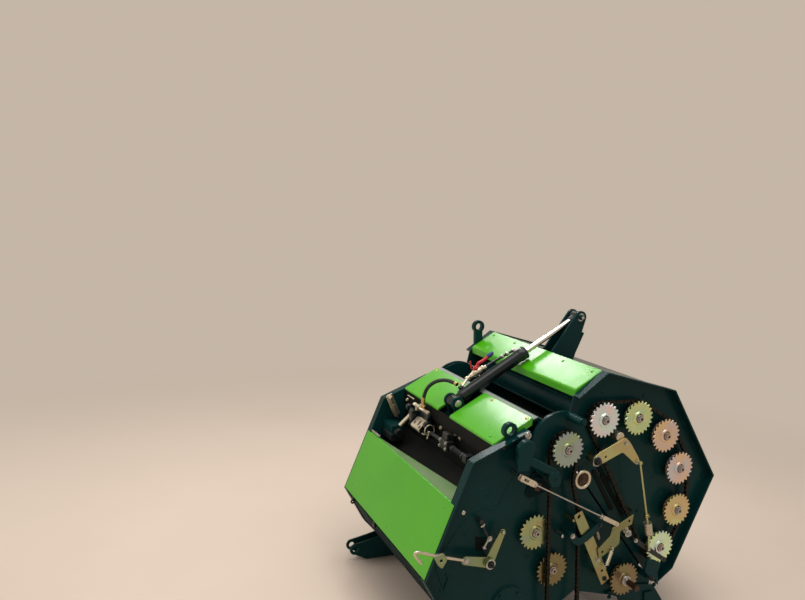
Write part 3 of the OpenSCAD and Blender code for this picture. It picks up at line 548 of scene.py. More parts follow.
def strap(points, width, steps=10):
    # Outline of a flat bar with round ends: the centre line moved half the width to each side, with
    # half circles
    p = np.asarray(points, float)
    along = unit(np.repeat(p[1:] - p[:1], 2, 0)) if len(p) == 2 else unit(np.gradient(p, axis=0))
    stretch = np.ones(len(p))
    if len(p) > 2:
        a, b = unit(p[1:-1] - p[:-2]), unit(p[2:] - p[1:-1])
        along[1:-1] = unit(a + b)
        stretch[1:-1] = 1 / np.maximum(np.sqrt((1 + np.sum(a * b, 1)) / 2), 0.5)
    side = np.stack([-along[:, 1], along[:, 0]], -1)
    half = width / 2 * stretch[:, None]
    sweep = np.linspace(0, np.pi, steps + 2)[1:-1, None]
    lastEnd = p[-1] + width / 2 * (np.cos(sweep) * -side[-1] + np.sin(sweep) * along[-1])
    firstEnd = p[0] + width / 2 * (np.cos(sweep) * side[0] - np.sin(sweep) * along[0])
    return np.concatenate([p - half * side, lastEnd, (p + half * side)[::-1], firstEnd])


# Flat parts


def signedArea(p):
    q = np.roll(p, -1, 0)
    return np.sum(p[:, 0] * q[:, 1] - q[:, 0] * p[:, 1])


def slab(outline, y0, y1, edge=0.8, holes=()):
    # Each outline is carried from y0 to y1 with its rim drawn in by the edge at both faces. The rim's
    # shift is the sum of the two neighbouring normals over one plus their product. Holes run the other
    # way round; three numbers stand for a round hole's middle and radius.
    holes = [ringAt(hole[:2], hole[2]) if np.size(hole) == 3 else hole for hole in holes]
    points, faces, rims, first = [], [], [], 0
    for k, loop in enumerate((outline, *holes)):
        loop = np.asarray(loop, float)
        loop = loop if (signedArea(loop) > 0) == (k == 0) else loop[::-1]
        a, b = unit(loop - np.roll(loop, 1, 0)), unit(np.roll(loop, -1, 0) - loop)
        normals = np.stack([-(a + b)[:, 1], (a + b)[:, 0]], -1)
        drawnIn = loop + edge * normals / np.maximum(1 + np.sum(a * b, 1), 0.35)[:, None]
        rows = [(drawnIn, y0), (loop, y0 + edge), (loop, y1 - edge), (drawnIn, y1)]
        rim, rimFaces = gridShape(np.stack([atLeft(p, y) for p, y in rows]), capped=False)
        points.append(rim)
        faces += [[first + k for k in face] for face in rimFaces]
        rims.append((drawnIn, first, len(loop)))
        first += len(rim)
    flat = tessellate_polygon([[Vector((x, y, 0)) for x, y in rim] for rim, start, count in rims])
    for row in (0, 3):
        lookup = np.concatenate([start + row * count + np.arange(count) for rim, start, count in rims])
        faces += [[int(lookup[k]) for k in triangle] for triangle in flat]
    return np.concatenate(points), faces


leverEdge = 0.9  # bevel of the levers and plates


def plate(corners, y0, y1, corner=4.0, edge=leverEdge, holes=(), steps=5):  # with rounded corners
    return slab(rounded(corners, corner, steps), y0, y1, edge, holes)


def bentSheet(points, y0, y1, thick=3.0, bend=7.0, edge=0.5):
    return slab(ribbon(softened(points, bend), thick), y0, y1, edge)


def boss(point, y0, y1, radius, bore=0.0):  # short turned post with broken edges, or a ring with a bore
    high = y1 - y0
    if bore:
        rows = [(bore, 0), (radius - 1, 0), (radius, 1), (radius, high - 1), (radius - 1, high),
                (bore, high)]
        return hoop(rows, atLeft(point, y0), 28)
    return spun([(radius - 0.8, 0), (radius, 0.8), (radius, high - 1), (radius - 1, high)],
                atLeft(point, y0), sides=28)


def post(point, y1, radius):  # stands on the side plate
    return boss(point, plateFace, y1, radius)


def weld(path, radius=2.2, ripple=5.0):
    # A small round bead whose radius swells and shrinks along its length: r * (1 + 0.16 cos(2 pi s /
    # ripple))
    p = np.asarray(path, float)
    run = np.concatenate([[0], np.cumsum(np.linalg.norm(np.diff(p, axis=0), axis=1))])
    even = np.linspace(0, run[-1], max(int(run[-1] / ripple * 3), 4))
    fine = np.stack([np.interp(even, run, p[:, k]) for k in range(3)], -1)
    return tube(fine, radius * (1 + 0.16 * np.cos(2 * np.pi * even / ripple)), 7, lean=(0.31, 0.47, 0.83))


def washer(bore, radius, thick):
    return [(bore, 0), (radius, 0), (radius, thick), (bore, thick)]


def piece(name, shapes, finish, body, slotName, *replaced):
    points, faces = together(shapes)
    mesh = bpy.data.meshes.new(name)
    mesh.from_pydata(((points + chamberCentre) * millimetre).tolist(), [], faces)
    solid = bmesh.new()
    solid.from_mesh(mesh)
    bmesh.ops.recalc_face_normals(solid, faces=solid.faces)
    solid.to_mesh(mesh)
    solid.free()
    mesh.shade_smooth()
    mesh.set_sharp_from_angle(angle=smoothAngle)
    mesh.materials.append(finishes[finish])
    thing = bpy.data.objects.new(name, mesh)
    bpy.context.scene.collection.objects.link(thing)
    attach(thing, body)
    if replaced:
        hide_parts(*replaced)


# Fasteners, drawn once and repeated

flangeFoot = [(11.0, 0.0), (0.001, 0.0)]
fasteners = {
    "hex": [(0.001, 7.4, 1), (6.6, 7.4, 1), (8.6, 6.6, 1), (8.6, 2.2, 1), (8.6, 2.0, 1), (10.5, 2.0),
            (11.0, 1.6), *flangeFoot],
    "stud": [(0.001, 14.0), (3.4, 14.0), (4.0, 13.4), (4.0, 8.8), (4.1, 8.8, 1), (7.0, 8.8, 1),
             (8.6, 8.0, 1),
             (8.6, 2.0, 1), (10.6, 2.0), (11.0, 1.5), *flangeFoot],
    "dome": [(0.001, 3.6), (3.0, 3.4), (5.6, 2.6), (7.4, 1.2), (7.9, 0.0), (0.001, 0.0)],
}
flatNut = [(4.0, 0), (8.0, 0, 1), (8.8, 0.8, 1), (8.8, 5.6, 1), (8.0, 6.4, 1), (4.0, 6.4)]


def bolts(kind, places, size=1.0, direction=left):  # feet on the places, heads along the direction
    return spun([(r * size, h * size, *rest) for r, h, *rest in fasteners[kind]], places, direction, 24, 6)


# Rollers stand on a ring round the chamber; a hub carries its wheels in one or two rows to the left of
# the middle

tailRow, frontRow, outerRow = 373.0, 388.0, 403.0
ring = {
    "radius": 302.0,
    "angles": [43.6, 76.5, 104, 132.4, 161, 190.8, 218.6, 252.6, 345.5, 314.4, 14.5],
    "rows": [(frontRow, outerRow)] + [(tailRow, frontRow)] * 7 + [(tailRow, tailRow)] * 2 + [None],
}
rollerAxes = circleAt((0, 0), ring["radius"], ring["angles"])


# Sprockets

sprocketLook = {"teeth": 22, "pitch": 15.875, "thick": 8.0, "hub": 22.0, "bore": 15.05, "seat": 7.3}
pitchRadius = sprocketLook["pitch"] / (2 * math.sin(math.pi / sprocketLook["teeth"]))


def toothedOutline(centre):
    # Radius = root + height * (half of one plus the cosine of the tooth angle) to the power 0.85
    count = sprocketLook["teeth"]
    degrees = np.arange(count * 16) * 360 / (count * 16)
    wave = (0.5 + 0.5 * np.cos(count * np.radians(degrees))) ** 0.85
    radius = pitchRadius + sprocketLook["pitch"] * (0.60 * wave - 0.32)
    return circleAt(centre, radius[:, None], degrees)


def sprocketShapes(number):
    centre, (inner, outer) = rollerAxes[number - 1], ring["rows"][number - 1]
    bore, hub, thick = sprocketLook["bore"], sprocketLook["hub"], sprocketLook["thick"]
    face = outer - inner + thick
    rows = [(bore, -2.0), (hub - 1.2, -2.0), (hub, -0.8), (hub, face + 0.2), (hub + 2.4, face + 0.2)]
    rows += [(hub + 1.9, face + 1.3), (hub + 0.4, face + 2.4), (hub - 1.0, face + 3.9)]
    rows += [(bore + 0.9, face + 4.0), (bore, face + 3.2)]
    shapes = [slab(toothedOutline(centre), outer, outer + thick, 1.1, [ringAt(centre, bore + 1.0, 36)])]
    shapes.append(hoop(rows, atLeft(centre, inner), 40))
    if inner != outer:  # the second wheel lies under its chain
        rim = pitchRadius - sprocketLook["seat"]
        rows = [(hub - 1, 0.3), (rim - 1, 0.3), (rim, 1.3), (rim, thick - 1), (rim - 1, thick),
                (hub - 1, thick)]
        shapes.append(hoop(rows, atLeft(centre, inner), 48))
    return shapes


for number in range(1, 11):
    body, node = "roller_unit_%d" % number, "sprocket_%d" % number
    piece("sprocketWheel%d" % number, sprocketShapes(number), "sprocketZinc%d" % number, body, "zinc", node)
print("sprockets cut")


# Roller chains

chainLook = {"height": 12.6, "plate": 1.5, "inner": 5.6, "roller": 5.0, "pin": 2.5, "bevel": 0.4}


def beltPath(wheels):
    # Outer tangents join the wheels: the path leaves a wheel at the angle of the line to the next one,
    # turned by the angle whose cosine is the difference of their signed radii over that distance, and
    # arcs join the tangents
    wheels = [np.array(w, float) for w in wheels]
    path = []

    def leaving(a, b):
        d = b[:2] - a[:2]
        return math.atan2(d[1], d[0]) + math.acos((b[3] * b[2] - a[3] * a[2]) / math.hypot(*d))

    for before, w, after in zip(wheels[-1:] + wheels, wheels, wheels[1:] + wheels[:1]):
        start, end = leaving(before, w), leaving(w, after)
        turn = (end - start) % (2 * math.pi) if w[3] > 0 else -((start - end) % (2 * math.pi))
        path.append(circleAt(w[:2], -w[3] * w[2], np.degrees(start + turn * np.linspace(0, 1, 25))))
    return np.concatenate(path)


def linkJoints(path):
    # Points at even steps of about one pitch round the closed path, an even number of them
    closed = np.concatenate([path, path[:1]])
    run = np.concatenate([[0], np.cumsum(np.linalg.norm(np.diff(closed, axis=0), axis=1))])
    count = 2 * int(round(run[-1] / sprocketLook["pitch"] / 2))
    even = np.arange(count) * run[-1] / count
    return np.stack([np.interp(even, run, closed[:, 0]), np.interp(even, run, closed[:, 1])], -1)


def linkOutline(length, height):  # waisted link plate with round ends
    sweep = np.linspace(-90, 90, 7)
    waist = height * 0.40
    end, start = circleAt((length, 0), height / 2, sweep), circleAt((0, 0), -height / 2, sweep)
    return np.concatenate([end, [[length / 2, waist]], start, [[length / 2, -waist]]])


def chainShapes(wheels, row):
    joints = linkJoints(beltPath(wheels))
    step = np.roll(joints, -1, 0) - joints
    length = np.linalg.norm(step, axis=1).mean()
    x = unit(atLeft(step, 0))
    y = np.broadcast_to(left, x.shape)
    frames = np.stack([x, y, np.cross(x, y)], 1)
    places = atLeft(joints, row + sprocketLook["thick"] / 2)
    thick, inner, pin, bevel = (chainLook[key] for key in ("plate", "inner", "pin", "bevel"))
    outline = linkOutline(length, chainLook["height"])
    innerLink, outerLink = (
        together([slab(outline * (1, squeeze), y - thick / 2, y + thick / 2, 0.25)
                  for y in (-middle, middle)])
        for middle, squeeze in ((inner / 2 + thick / 2, 1), (inner / 2 + thick * 1.55, 0.97))
    )
    roller = spun([(chainLook["roller"], 0), (chainLook["roller"], inner)], (0, -inner / 2, 0), sides=12)
    reach = inner / 2 + thick * 2.05 + 0.35
    rows = [(pin - bevel, 0), (pin, bevel), (pin, 2 * reach - bevel), (pin - bevel, 2 * reach)]
    return [
        copies(innerLink, places[0::2], frames[0::2]),
        copies(outerLink, places[1::2], frames[1::2]),
        copies(together([roller, spun(rows, (0, -reach, 0), sides=10)]), places, frames),
    ]


seat = sprocketLook["seat"]
tailRun = [(*rollerAxes[number - 1], pitchRadius, 1) for number in range(2, 8)]
frontRun = [(*rollerAxes[0], pitchRadius, 1), (133, 94, 33 + seat, -1), (150, -22, 6 + seat, 1),
            (166, -338, 61, 1)]
piece("tailChainLinks", chainShapes(tailRun, tailRow), "chainSteel", "tailgate", "chain", "tail_chain")
piece("frontChainLinks", chainShapes(frontRun, frontRow), "chainSteel", "frame", "chain", "front_chain")
print("chains linked")


# Latch of the tailgate: lever, pull rod with its spring, hook

latchLook = {"rodY": 416.0, "rod": 4.0, "spring": (12.0, 2.9, 7.0), "springCore": 9.4}
latchCorners = [(112, 144), (112, 174), (86, 191), (-14, 234), (-36, 215), (-83, 154)]
latchCorners += [(-79, 133), (-69, 136), (-7, 183), (72, 150), (91, 142)]
latchHoles = [(96, 160, 7.0), (-17, 213, 5.2), (62, 172, 4.2), (-75, 143, 5.0)]
latchShapes = [plate(latchCorners, 402, 409, 9.0, holes=latchHoles)]
latchShapes += [post((96, 160), 401.6, 12.0), boss((-80, 143), 409.2, 411.2, 8.4)]
pivot = [boss((96, 160), 409.2, 411.2, 15.0), bolts("stud", (96, 411.2, 160), 1.25)]
brightRing = boss((96, 160), 408.8, 410.0, 18.0, 14.0)
piece("latchPost", [post((3, 234), 401.4, 16.0)], "creamZinc", "tailgate", "zinc")
piece("latchLever", latchShapes, "latchZinc", "tailgate", "zinc", "latch_lever")
piece("latchPivot", pivot, "darkSteel", "tailgate", "black")
piece("latchBolts", [brightRing, bolts("hex", [(-17, 409.2, 213), (-75, 409.2, 143)], 0.72)],
      "brightZinc", "tailgate", "zinc")

rodTop, springTop, springLow, hookPin = atLeft([(-80, 143), (-145, -80), (-156, -117), (-163, -177)],
                                               latchLook["rodY"])
rodRun, springRun = rodTop - springTop, springTop - springLow
pullShapes = [rod(rodTop, springTop, latchLook["rod"]), rod(springLow, hookPin, latchLook["rod"])]
pullShapes += [threaded(springTop + 0.30 * rodRun, springTop, 4.4), boss((-80, 143), 409, 422, 7.0)]
pullShapes += [boss((-163, -177), 407, 422, 6.0), boss((-66, -101), plateFace, 402, 12.2, 5.0)]
pullShapes += [spun(fasteners["stud"][5:], springTop + 0.12 * rodRun, (0.28, 0, 0.96), 24, 6)]
hookLine = softened([(-104, -139), (-164, -178), (-212, -208), (-251, -232)], 20)
hookShapes = [slab(strap(hookLine, 16), 405, 411, leverEdge, [(-244, -228, 3.4)]),
              post((-104, -139), 404.6, 7.0)]
hookShapes += [boss((-104, -139), 411.2, 413.6, 7.4)]
seatRows = washer(4.4, 15.0, 2.4)
springShapes = [coil(springTop, springLow, *latchLook["spring"]),
                rod(springTop, springLow, latchLook["springCore"])]
springShapes += [spun(seatRows, springTop, springRun), spun(seatRows, springLow, -springRun)]
pins = [bolts("hex", (-104, 413.6, -139), 0.7), bolts("dome", (-66, 402, -101), 0.9),
        bolts("dome", (-163, 421.5, -177), 0.6)]
piece("hookBar", hookShapes, "darkSteel", "tailgate", "black")
piece("latchPull", pullShapes, "leverZinc", "tailgate", "zinc", "latch_rod")
piece("latchSpring", springShapes, "creamZinc", "tailgate", "zinc")
piece("latchPins", pins, "brightZinc", "tailgate", "zinc")

catchCorners = [(-154, -255), (-161, -212), (-201, -222), (-223, -236), (-214, -268), (-224, -318),
                (-178, -280)]
catchShapes = [plate(catchCorners, 413, 422, 8, holes=[(-207, -297, 4.5)]), post((-188, -286), 412.6, 12.0)]
piece("latchCatch", catchShapes, "tealPaint", "frame", "paint", "latch_catch")


# Trip gear on the frame: strap, bar with a slot, cam lever

strapLine = softened([(170, -87), (158, -105), (138, -112), (112, -101), (62, -62)], 14)
strapShapes = [slab(strap(strapLine, 24), 411.2, 418, 1.4), post((172, -86), 411.6, 6.0),
               post((62, -62), 411.6, 6.0)]
strapShapes += [bentSheet([(166, -102), (140, -121), (112, -111), (70, -78)], 398, 412, 3.0, 12, 0.6)]
piece("tripStrap", strapShapes, "tealPaint", "frame", "paint", "trip_strap")

tripCorners = [(167, -20), (137, -5), (98, -71), (73, -111), (-10, -265), (21, -285), (111, -125),
               (143, -70)]
tripHoles = [rounded(barOutline((150, -31), (144, -20), 9.5), 1.5, 3), (100, -95, 4.6), (26, -232, 4.6)]
tripShapes = [plate(tripCorners, 404, 410, 3, holes=tripHoles, steps=4)]
tripShapes += [post(point, 403.6, radius)
               for point, radius in (((51, -189), 9.0), ((12, -262), 8.0), ((160, -40), 6.0))]
camCorners = [(49, -182), (59, -148), (12, -106), (6, -76), (-15, -71), (-80, -39)]
camCorners += [(-77, -76), (-44, -87), (-29, -96), (-31, -139), (-17, -150)]
camShapes = [plate(camCorners, 410.3, 416, 4, holes=[(38, -160, 4.4), (-64, -62, 4.6)])]
camShapes += [boss((2, -92), 416.2, 418.0, 7.0)]
piece("tripBar", tripShapes, "tripZinc", "frame", "zinc", "trip_bar")
piece("tripLever", camShapes, "oliveZinc", "frame", "zinc", "trip_lever")


# Clevis rod: places along it are counted from the clevis and from its low end

forkY = 418.0
clevis, low = np.array([362.0, 118.0]), np.array([-10.0, -66.0])
slope = unit(low - clevis)
clevisAt, lowAt, along = atLeft(clevis, forkY), atLeft(low, forkY), atLeft(slope, 0)
forkSlot = rounded(barOutline(clevis - 34 * slope, clevis - 8 * slope, 8.4), 2.0, 3)
forkBar = barOutline(clevis - 42 * slope, clevis + 3 * slope, 20)
forkShapes = [plate(forkBar, forkY + y, forkY + y + 3.4, 7, 0.7, [forkSlot]) for y in (-8, 4.6)]
forkShapes += [plate(barOutline(clevis, clevis + 22 * slope, 20), forkY - 7.9, forkY + 7.9, 4, 1.6, steps=4)]
forkShapes += [plate(barOutline(low - 76 * slope, low, 15), 416.2, 426, 5, 1.0, [(*(low - 10 * slope), 4.4)],
                     4)]
drawRod = [rod(clevisAt + 20 * along, lowAt - 20 * along, 2.7, 14)]
for end, reach in ((clevis, 20), (low, -104)):  # thread of 30 mm at each end
    drawRod.append(threaded(*atLeft([end + reach * slope, end + (reach + 30) * slope], forkY), 3.3))
rodNuts = [spun(flatNut, place, along, 24, 6) for place in (clevisAt + 23 * along, lowAt - 84 * along)]
rodNuts += [spun(washer(4.2, 10.5, 1.8), lowAt - 92 * along, along), post(clevis - 30 * slope, 409, 7.0)]
rodNuts += [boss(clevis - 31 * slope, 409, 427.0, 4.4), boss(low - 10 * slope, 425, 427.2, 4.6)]
piece("drawRod", drawRod, "brightZinc", "frame", "zinc")
piece("clevisRod", forkShapes, "creamZinc", "frame", "zinc", "clevis_rod")
piece("rodNuts", rodNuts, "brightZinc", "frame", "zinc")

smallSprings = [coil((4, 421, -158), (19, 421, -206), 5.2, 1.8, 14.0, 6, 12),
                rod((5, 421, -161), (18, 421, -203), 4.2, 12)]
smallSprings += [coil((44, 398, -120), (60, 398, -84), 4.6, 1.1, 8.5, 6, 10)]
for centre, start in (((2, -152), 60), ((21, -212), -120)):  # the hooks at the spring's ends
    hook = circleAt(centre, 5.0, np.linspace(start, start + 270, 12))
    smallSprings.append(tube(atLeft(hook, 421), 1.4, 6, lean=(0.1, 1, 0)))
darkNuts = [boss((12, -262), 410.2, 411.6, 9.0), bolts("stud", (12, 411.4, -262), 0.62)]
darkNuts += [bolts("hex", (62, 418.2, -62), 0.6), bolts("stud", (-188, 422, -286), 0.9)]
leverBolts = [bolts("stud", (51, 410.2, -189), 0.72), bolts("hex", (172, 418.2, -86), 0.8)]
leverBolts += [boss((-62, -106), 416.2, 420, 13.0, 7.0), bolts("stud", (-62, 419, -106), 0.85)]
leverBolts += [post((196, -93), 398, 5.0), bolts("dome", (196, 398, -93), 0.7)]
piece("tripSprings", smallSprings, "creamZinc", "frame", "zinc")
piece("darkNuts", darkNuts, "darkSteel", "frame", "black")
piece("leverBolts", leverBolts, "brightZinc", "frame", "zinc")


# Bell crank with its long handle, and its stop

crankAt, eyeAt, kneeAt = (467, -149), (426, -52), (552, -131)
crankShapes = [slab(tapered(crankAt, 18, eyeAt, 10), 387, 393, holes=[(*eyeAt, 4.6)])]
crankShapes += [slab(tapered(crankAt, 17.6, kneeAt, 14), 387.3, 392.7), post(crankAt, 403, 13.0)]
crankShapes += [boss(eyeAt, 393, 399, 7.0, 3.4), boss(kneeAt, 381, 387, 11.0)]
crankShapes += [plate([(665, -102), (635, -90), (618, -115), (635, -145), (652, -128)], 386, 397, 8, 1.4,
                      [(640, -116, 4.5)])]
handleLine = softened([(548, -132), (640, -106), (722, -79), (730, -84), (722, -98), (704, -118)], 12, 6)
stopShapes = [rod((500, 374, -15), (464, 374, -80), 4.4), threaded((496, 374, -22), (470, 374, -69), 4.8)]
stopShapes += [post((500, -15), 382, 7.0)]
# a near-black patch on the plate below the stop: painted shade of a recess
recessShade = plate([(503, -74), (476, -82), (472, -124), (499, -118)], 355.8, 358.2, 4, 0.6, steps=4)
marks = [slab(strap([(588, -196), (600, -238)], 6.0), 355.6, 360.4, 1.0),
         slab(strap([(579, -198), (598, -192)], 5.0), 355.6, 359.4)]
stopNuts = [spun(flatNut, (494, 374, -26), (-0.484, 0, -0.875), 24, 6), bolts("hex", (464, 379, -76), 0.85)]
stopNuts += [spun(flatNut, (476, 372, -104), (0.484, 0, -0.875), 24, 6),
             rod((465, 372, -82), (478, 372, -108), 4.2)]
stopNuts += [post((464, -76), 379, 7.0), boss(crankAt, 403, 405, 17.0, 9.0)]
crankBolts = [bolts("hex", (552, 393, -131), 0.9), bolts("dome", (426, 399, -52), 0.6)]
piece("twineHandle", [tube(atLeft(handleLine, 390), 5.0, lean=(0, 1, 0.02))], "creamZinc", "frame", "zinc")
piece("bellCrank", crankShapes, "crankZinc", "frame", "zinc", "bell_crank")
piece("crankPivot", [bolts("stud", (467, 403, -149), 1.15)], "darkSteel", "frame", "black")
piece("crankBolts", crankBolts, "brightZinc", "frame", "zinc")
piece("stopRecessShade", [recessShade], "paintedShadeGrime", "frame", "black")
piece("pinMark", marks, "tealPaint", "frame", "paint")
piece("crankStop", stopShapes, "darkSteel", "frame", "black")
piece("stopNuts", stopNuts, "brightZinc", "frame", "zinc")


# Guide of the rod, and the idler that the slack chain lies on

capCorners = np.concatenate([circleAt((378, 219), 33.5, np.linspace(-32, 172, 26)),
                             [(360, 176), (364, 149), (407, 152), (411, 190)]])
earCorners = [(291, 122), (282, 141), (251, 141), (238, 118), (242, 90), (276, 88)]
guideShapes = [plate(capCorners, 396, 418, 6, 4.0, steps=3),
               plate(earCorners, 400, 419, 6, 3.2, [(262, 114, 5.0)], 4)]
guideShapes += [plate(barOutline((364, 228), (358, 156), 40), plateFace, 397, 8)]
guideShapes += [slab(tapered((350, 178), 14, (268, 138), 13), 402, 416.5, 3.2)]
guideBolts = [bolts("stud", (262, 411, 114), 0.6), post((262, 114), 411.5, 7.0),
              bolts("dome", (424, plateFace, 214), 1.1)]
stripNut = [boss((362, 257), 384, 389, 12.0, 6.0), boss((362, 257), 380, 386.5, 6.2)]
idlerAt = atLeft((133, 94), frontRow)
idlerRows = [(22.6, 0), (31, 0), (32.6, 1.4), (33, 3.6), (32.4, 5.8), (30.6, 7.4), (28.0, 8.0), (25.2, 7.4)]
idlerShapes = [hoop(idlerRows + [(23.4, 5.8), (22.6, 3.6)], idlerAt, 48)]
idlerCore = [hoop([(13.5, 0.6), (22.4, 1.0), (22.4, 2.0), (13.5, 2.0)], idlerAt, 40),
             post((133, 94), 388, 9.0)]
idlerCore += [hoop([(5.6, 0.4), (12.5, 0.4), (13.4, 1.2), (13.4, 4.4), (12.5, 5.2), (5.6, 5.2)], idlerAt,
                   32)]
idlerCore += [bolts("hex", (133, 390.6, 94), 0.85)]
hingeBolt = [boss((195, 306), 440, 442, 10.0), bolts("hex", (195, 441.6, 306), 0.9)]
piece("rodGuide", guideShapes, "tealPaint", "frame", "paint", "guide_bracket")
piece("guideBolts", guideBolts, "darkSteel", "frame", "zinc")
piece("stripNut", stripNut, "brightZinc", "frame", "zinc")
piece("idlerWheel", idlerShapes, "creamZinc", "frame", "zinc", "idler_ring")
piece("idlerCore", idlerCore, "rustySteel", "frame", "chain")
piece("hingeBossBolt", hingeBolt, "tealPaint", "tailgate", "paint")

# Near-black flat bars beside the gap between the two plates, and the near-black cover inside it: painted
# shade that stands for the shadow in the gap
barPaths = [
    ([(62, 101), (-30, -37)], 15.0),
    ([(26, 84), (-80, -62)], 13.0),
    ([(49, 122), (21, 84), (-26, 62), (-50, 28), (-58, -26), (-118, -54)], 9.0),
]
gapShadeBars = [slab(strap(softened(path, 16), width), plateFace, 360.5 + k, 0.9)
           for k, (path, width) in enumerate(barPaths)]
gapShadeBars += [slab(strap([(-58, -120), (-140, -209), (-188, -262)], 32), 341.2, 344.4, 0.5)]
piece("gapShadeBars", gapShadeBars, "paintedShadeGrime", "tailgate", "black")
print("levers and linkage made")


# Bearings: a pressed flange with its housing over each shaft, on both sides

bearingLook = {"flange": 45.0, "thick": 5.0, "housing": 31.0, "high": 12.8, "bore": 16.6}


def bearingShape(side, point, heading):
    # The flange's radius swells three times round by (half of one plus 1.24 cos of the angle) to the
    # power 1.5
    flange, thick, housing, high, bore = bearingLook.values()
    degrees = np.linspace(0, 360, 72, endpoint=False)
    lobes = np.clip(0.5 + 0.62 * np.cos(np.radians(3 * degrees)), 0, 1) ** 1.5
    outline = circleAt(point, (housing + 2.5 + (flange - housing) * lobes)[:, None], degrees + 60 + heading)
    rows = [(bore, 4.9), (housing + 2.0, 4.9), (housing, 7.0), (housing, high - 2.2), (housing - 2.4, high)]
    rows += [(bore + 7, high), (bore + 5.4, high - 0.6), (bore, high - 0.6)]
    y0, y1 = sorted((side * plateFace, side * (plateFace + thick)))
    flat = slab(outline, y0, y1, 1.0, [ringAt(point, bore + 3, 28)])
    return [flat, hoop([(r, side * h) for r, h in rows], atLeft(point, side * plateFace), 40)]


bearings = {"frame": [], "tailgate": []}
for number in range(2, 12):
    point, heading = rollerAxes[number - 1], ring["angles"][number - 1]
    for side in (1, -1):
        bearings["tailgate" if number < 8 else "frame"] += bearingShape(side, point, heading)
piece("frameBearings", bearings["frame"], "shadedPaint", "frame", "cast")
piece("tailBearings", bearings["tailgate"], "shadedPaint", "tailgate", "cast")

# Rollers: the drum's radius steps out by the rib's height at each rib, and a bolt and washer close the shaft

rollerLook = {"tube": 49.0, "rib": 6.0, "ribs": 8, "half": 344.0, "washer": 13.2}
ribProfile = np.array([(-3.7, 0), (-3.3, 0.88), (-2.4, 1), (2.4, 1), (3.3, 0.88), (3.7, 0), (11, 0), (18, 0),
                       (25, 0), (34, 0)])


def drumShape(centre):
    count, half = rollerLook["ribs"], rollerLook["half"]
    degrees = ((np.arange(count) * 360 / count)[:, None] + ribProfile[:, 0]).ravel()
    radius = np.tile(rollerLook["tube"] + ribProfile[:, 1] * rollerLook["rib"], count)
    ends = [(-1.0, -half), (0, 1 - half), (0, half - 1), (-1.0, half)]
    return gridShape(np.stack([atLeft(circleAt(centre, (radius + d)[:, None], degrees), y)
                               for d, y in ends]))


for number in range(1, 12):
    rows, centre, washerRadius = ring["rows"][number - 1], rollerAxes[number - 1], rollerLook["washer"]
    body, sleeve = "roller_unit_%d" % number, 374.0 if number == 1 else 368.0
    piece("rollerDrum%d" % number, [drumShape(centre)], "tealPaint", body, "paint", "roller_%d" % number)
    shapes = [spun([(13.5, 0), (15, 1.5), (15, 368 + sleeve)], atLeft(centre, -sleeve), sides=32)]
    if rows:
        face = rows[1] + sprocketLook["thick"] + 4.0
        long = 460.0 - face if number == 8 else 10.0
        collar = [(19, 0), (21, 0.8), (21, rows[0] - sleeve - 4), (19, rows[0] - sleeve - 3)]
        shapes.append(spun([(15, 0), (15, face - 360)], atLeft(centre, 360), sides=32))
        shapes.append(spun(collar, atLeft(centre, sleeve + 0.6), sides=32))
        shapes.append(slab(barOutline(centre + (0, 12.5), centre + (0, 18.2), 5.0), face - 5, face + 0.4,
                           0.4))
        if number == 8:
            shapes.append(threaded(atLeft(centre, face), atLeft(centre, face + long), 10.6, 3.0, 28))
            cap = [(11.2, -0.2), (15.2, 0), (18.0, 0), (18.6, 0.8), (18.6, 7), (17.6, 8.4), (13.2, 9.0)]
            capShape = spun(cap + [(12.4, 9.6), (12.4, 15), (11.6, 16), (10.2, 16)], atLeft(centre, face),
                            sides=36)
        else:
            shapes.append(spun([(5.6, 0), (5.6, long - 0.6), (5.0, long)], atLeft(centre, face), sides=18))
            cap = [(washerRadius, 0), (washerRadius, 1.6), (washerRadius - 0.6, 2.2), (9.6, 2.2, 1)]
            cap += [(9.6, long - 1.0, 1), (8.6, long - 0.2, 1), (0.01, long - 0.2)]
            capShape = spun(cap, atLeft(centre, face), sides=24, flats=6)
        piece("shaftBolt%d" % number, [capShape], "shaftBolt", body, "zinc")
    else:
        shapes.append(spun([(15, 0), (15, 13), (13.5, 14.4)], atLeft(centre, 359.6), sides=32))
    piece("rollerShaft%d" % number, shapes, "rustySteel", body, "chain")
print("bearings seated")


# Folded covers


def wideSheet(points, inset, thick=3.0, bend=7.0):  # from side to side, short of the plates by the inset
    return bentSheet(points, inset - halfWidth, halfWidth - inset, thick, bend)


def endCheeks(outline):  # a folded flange at each end of a cover
    return [plate(outline, y0, y0 + 3.0, 3.0, 0.5, steps=3) for y0 in (halfWidth - 3.2, 0.2 - halfWidth)]


topCover = [wideSheet([(163, 363), (166, 387.5), (66, 450)], 3.4, bend=5.0)]
topCover += [wideSheet([(163.5, 364.5), (152, 361.0)], 6, 2.4)]
topCover += endCheeks([(163, 363), (166, 388), (66, 451.5), (163, 371)])
noseLine = [(461, 217.5), (461, 223.2), (324, 301.5), (324, 277)]
noseCover = [bentSheet(noseLine, *ends, bend=3.0)
             for ends in ((3.4 - halfWidth, -46), (46, halfWidth - 3.4))]
noseCover += [bentSheet([(459, 223.0), (326, 300.0)], y - 1.2, y + 1.2, 8.0) for y in (-47.0, 47.0)]
noseCover += endCheeks([(461, 224), (324, 303), (324, 277), (437, 214)])
# a near-black sheet below the mid cover's short lime lip: painted shade of its front face
apronShade = wideSheet([(459.8, 173), (459.8, 219)], 0.4, 2.4)
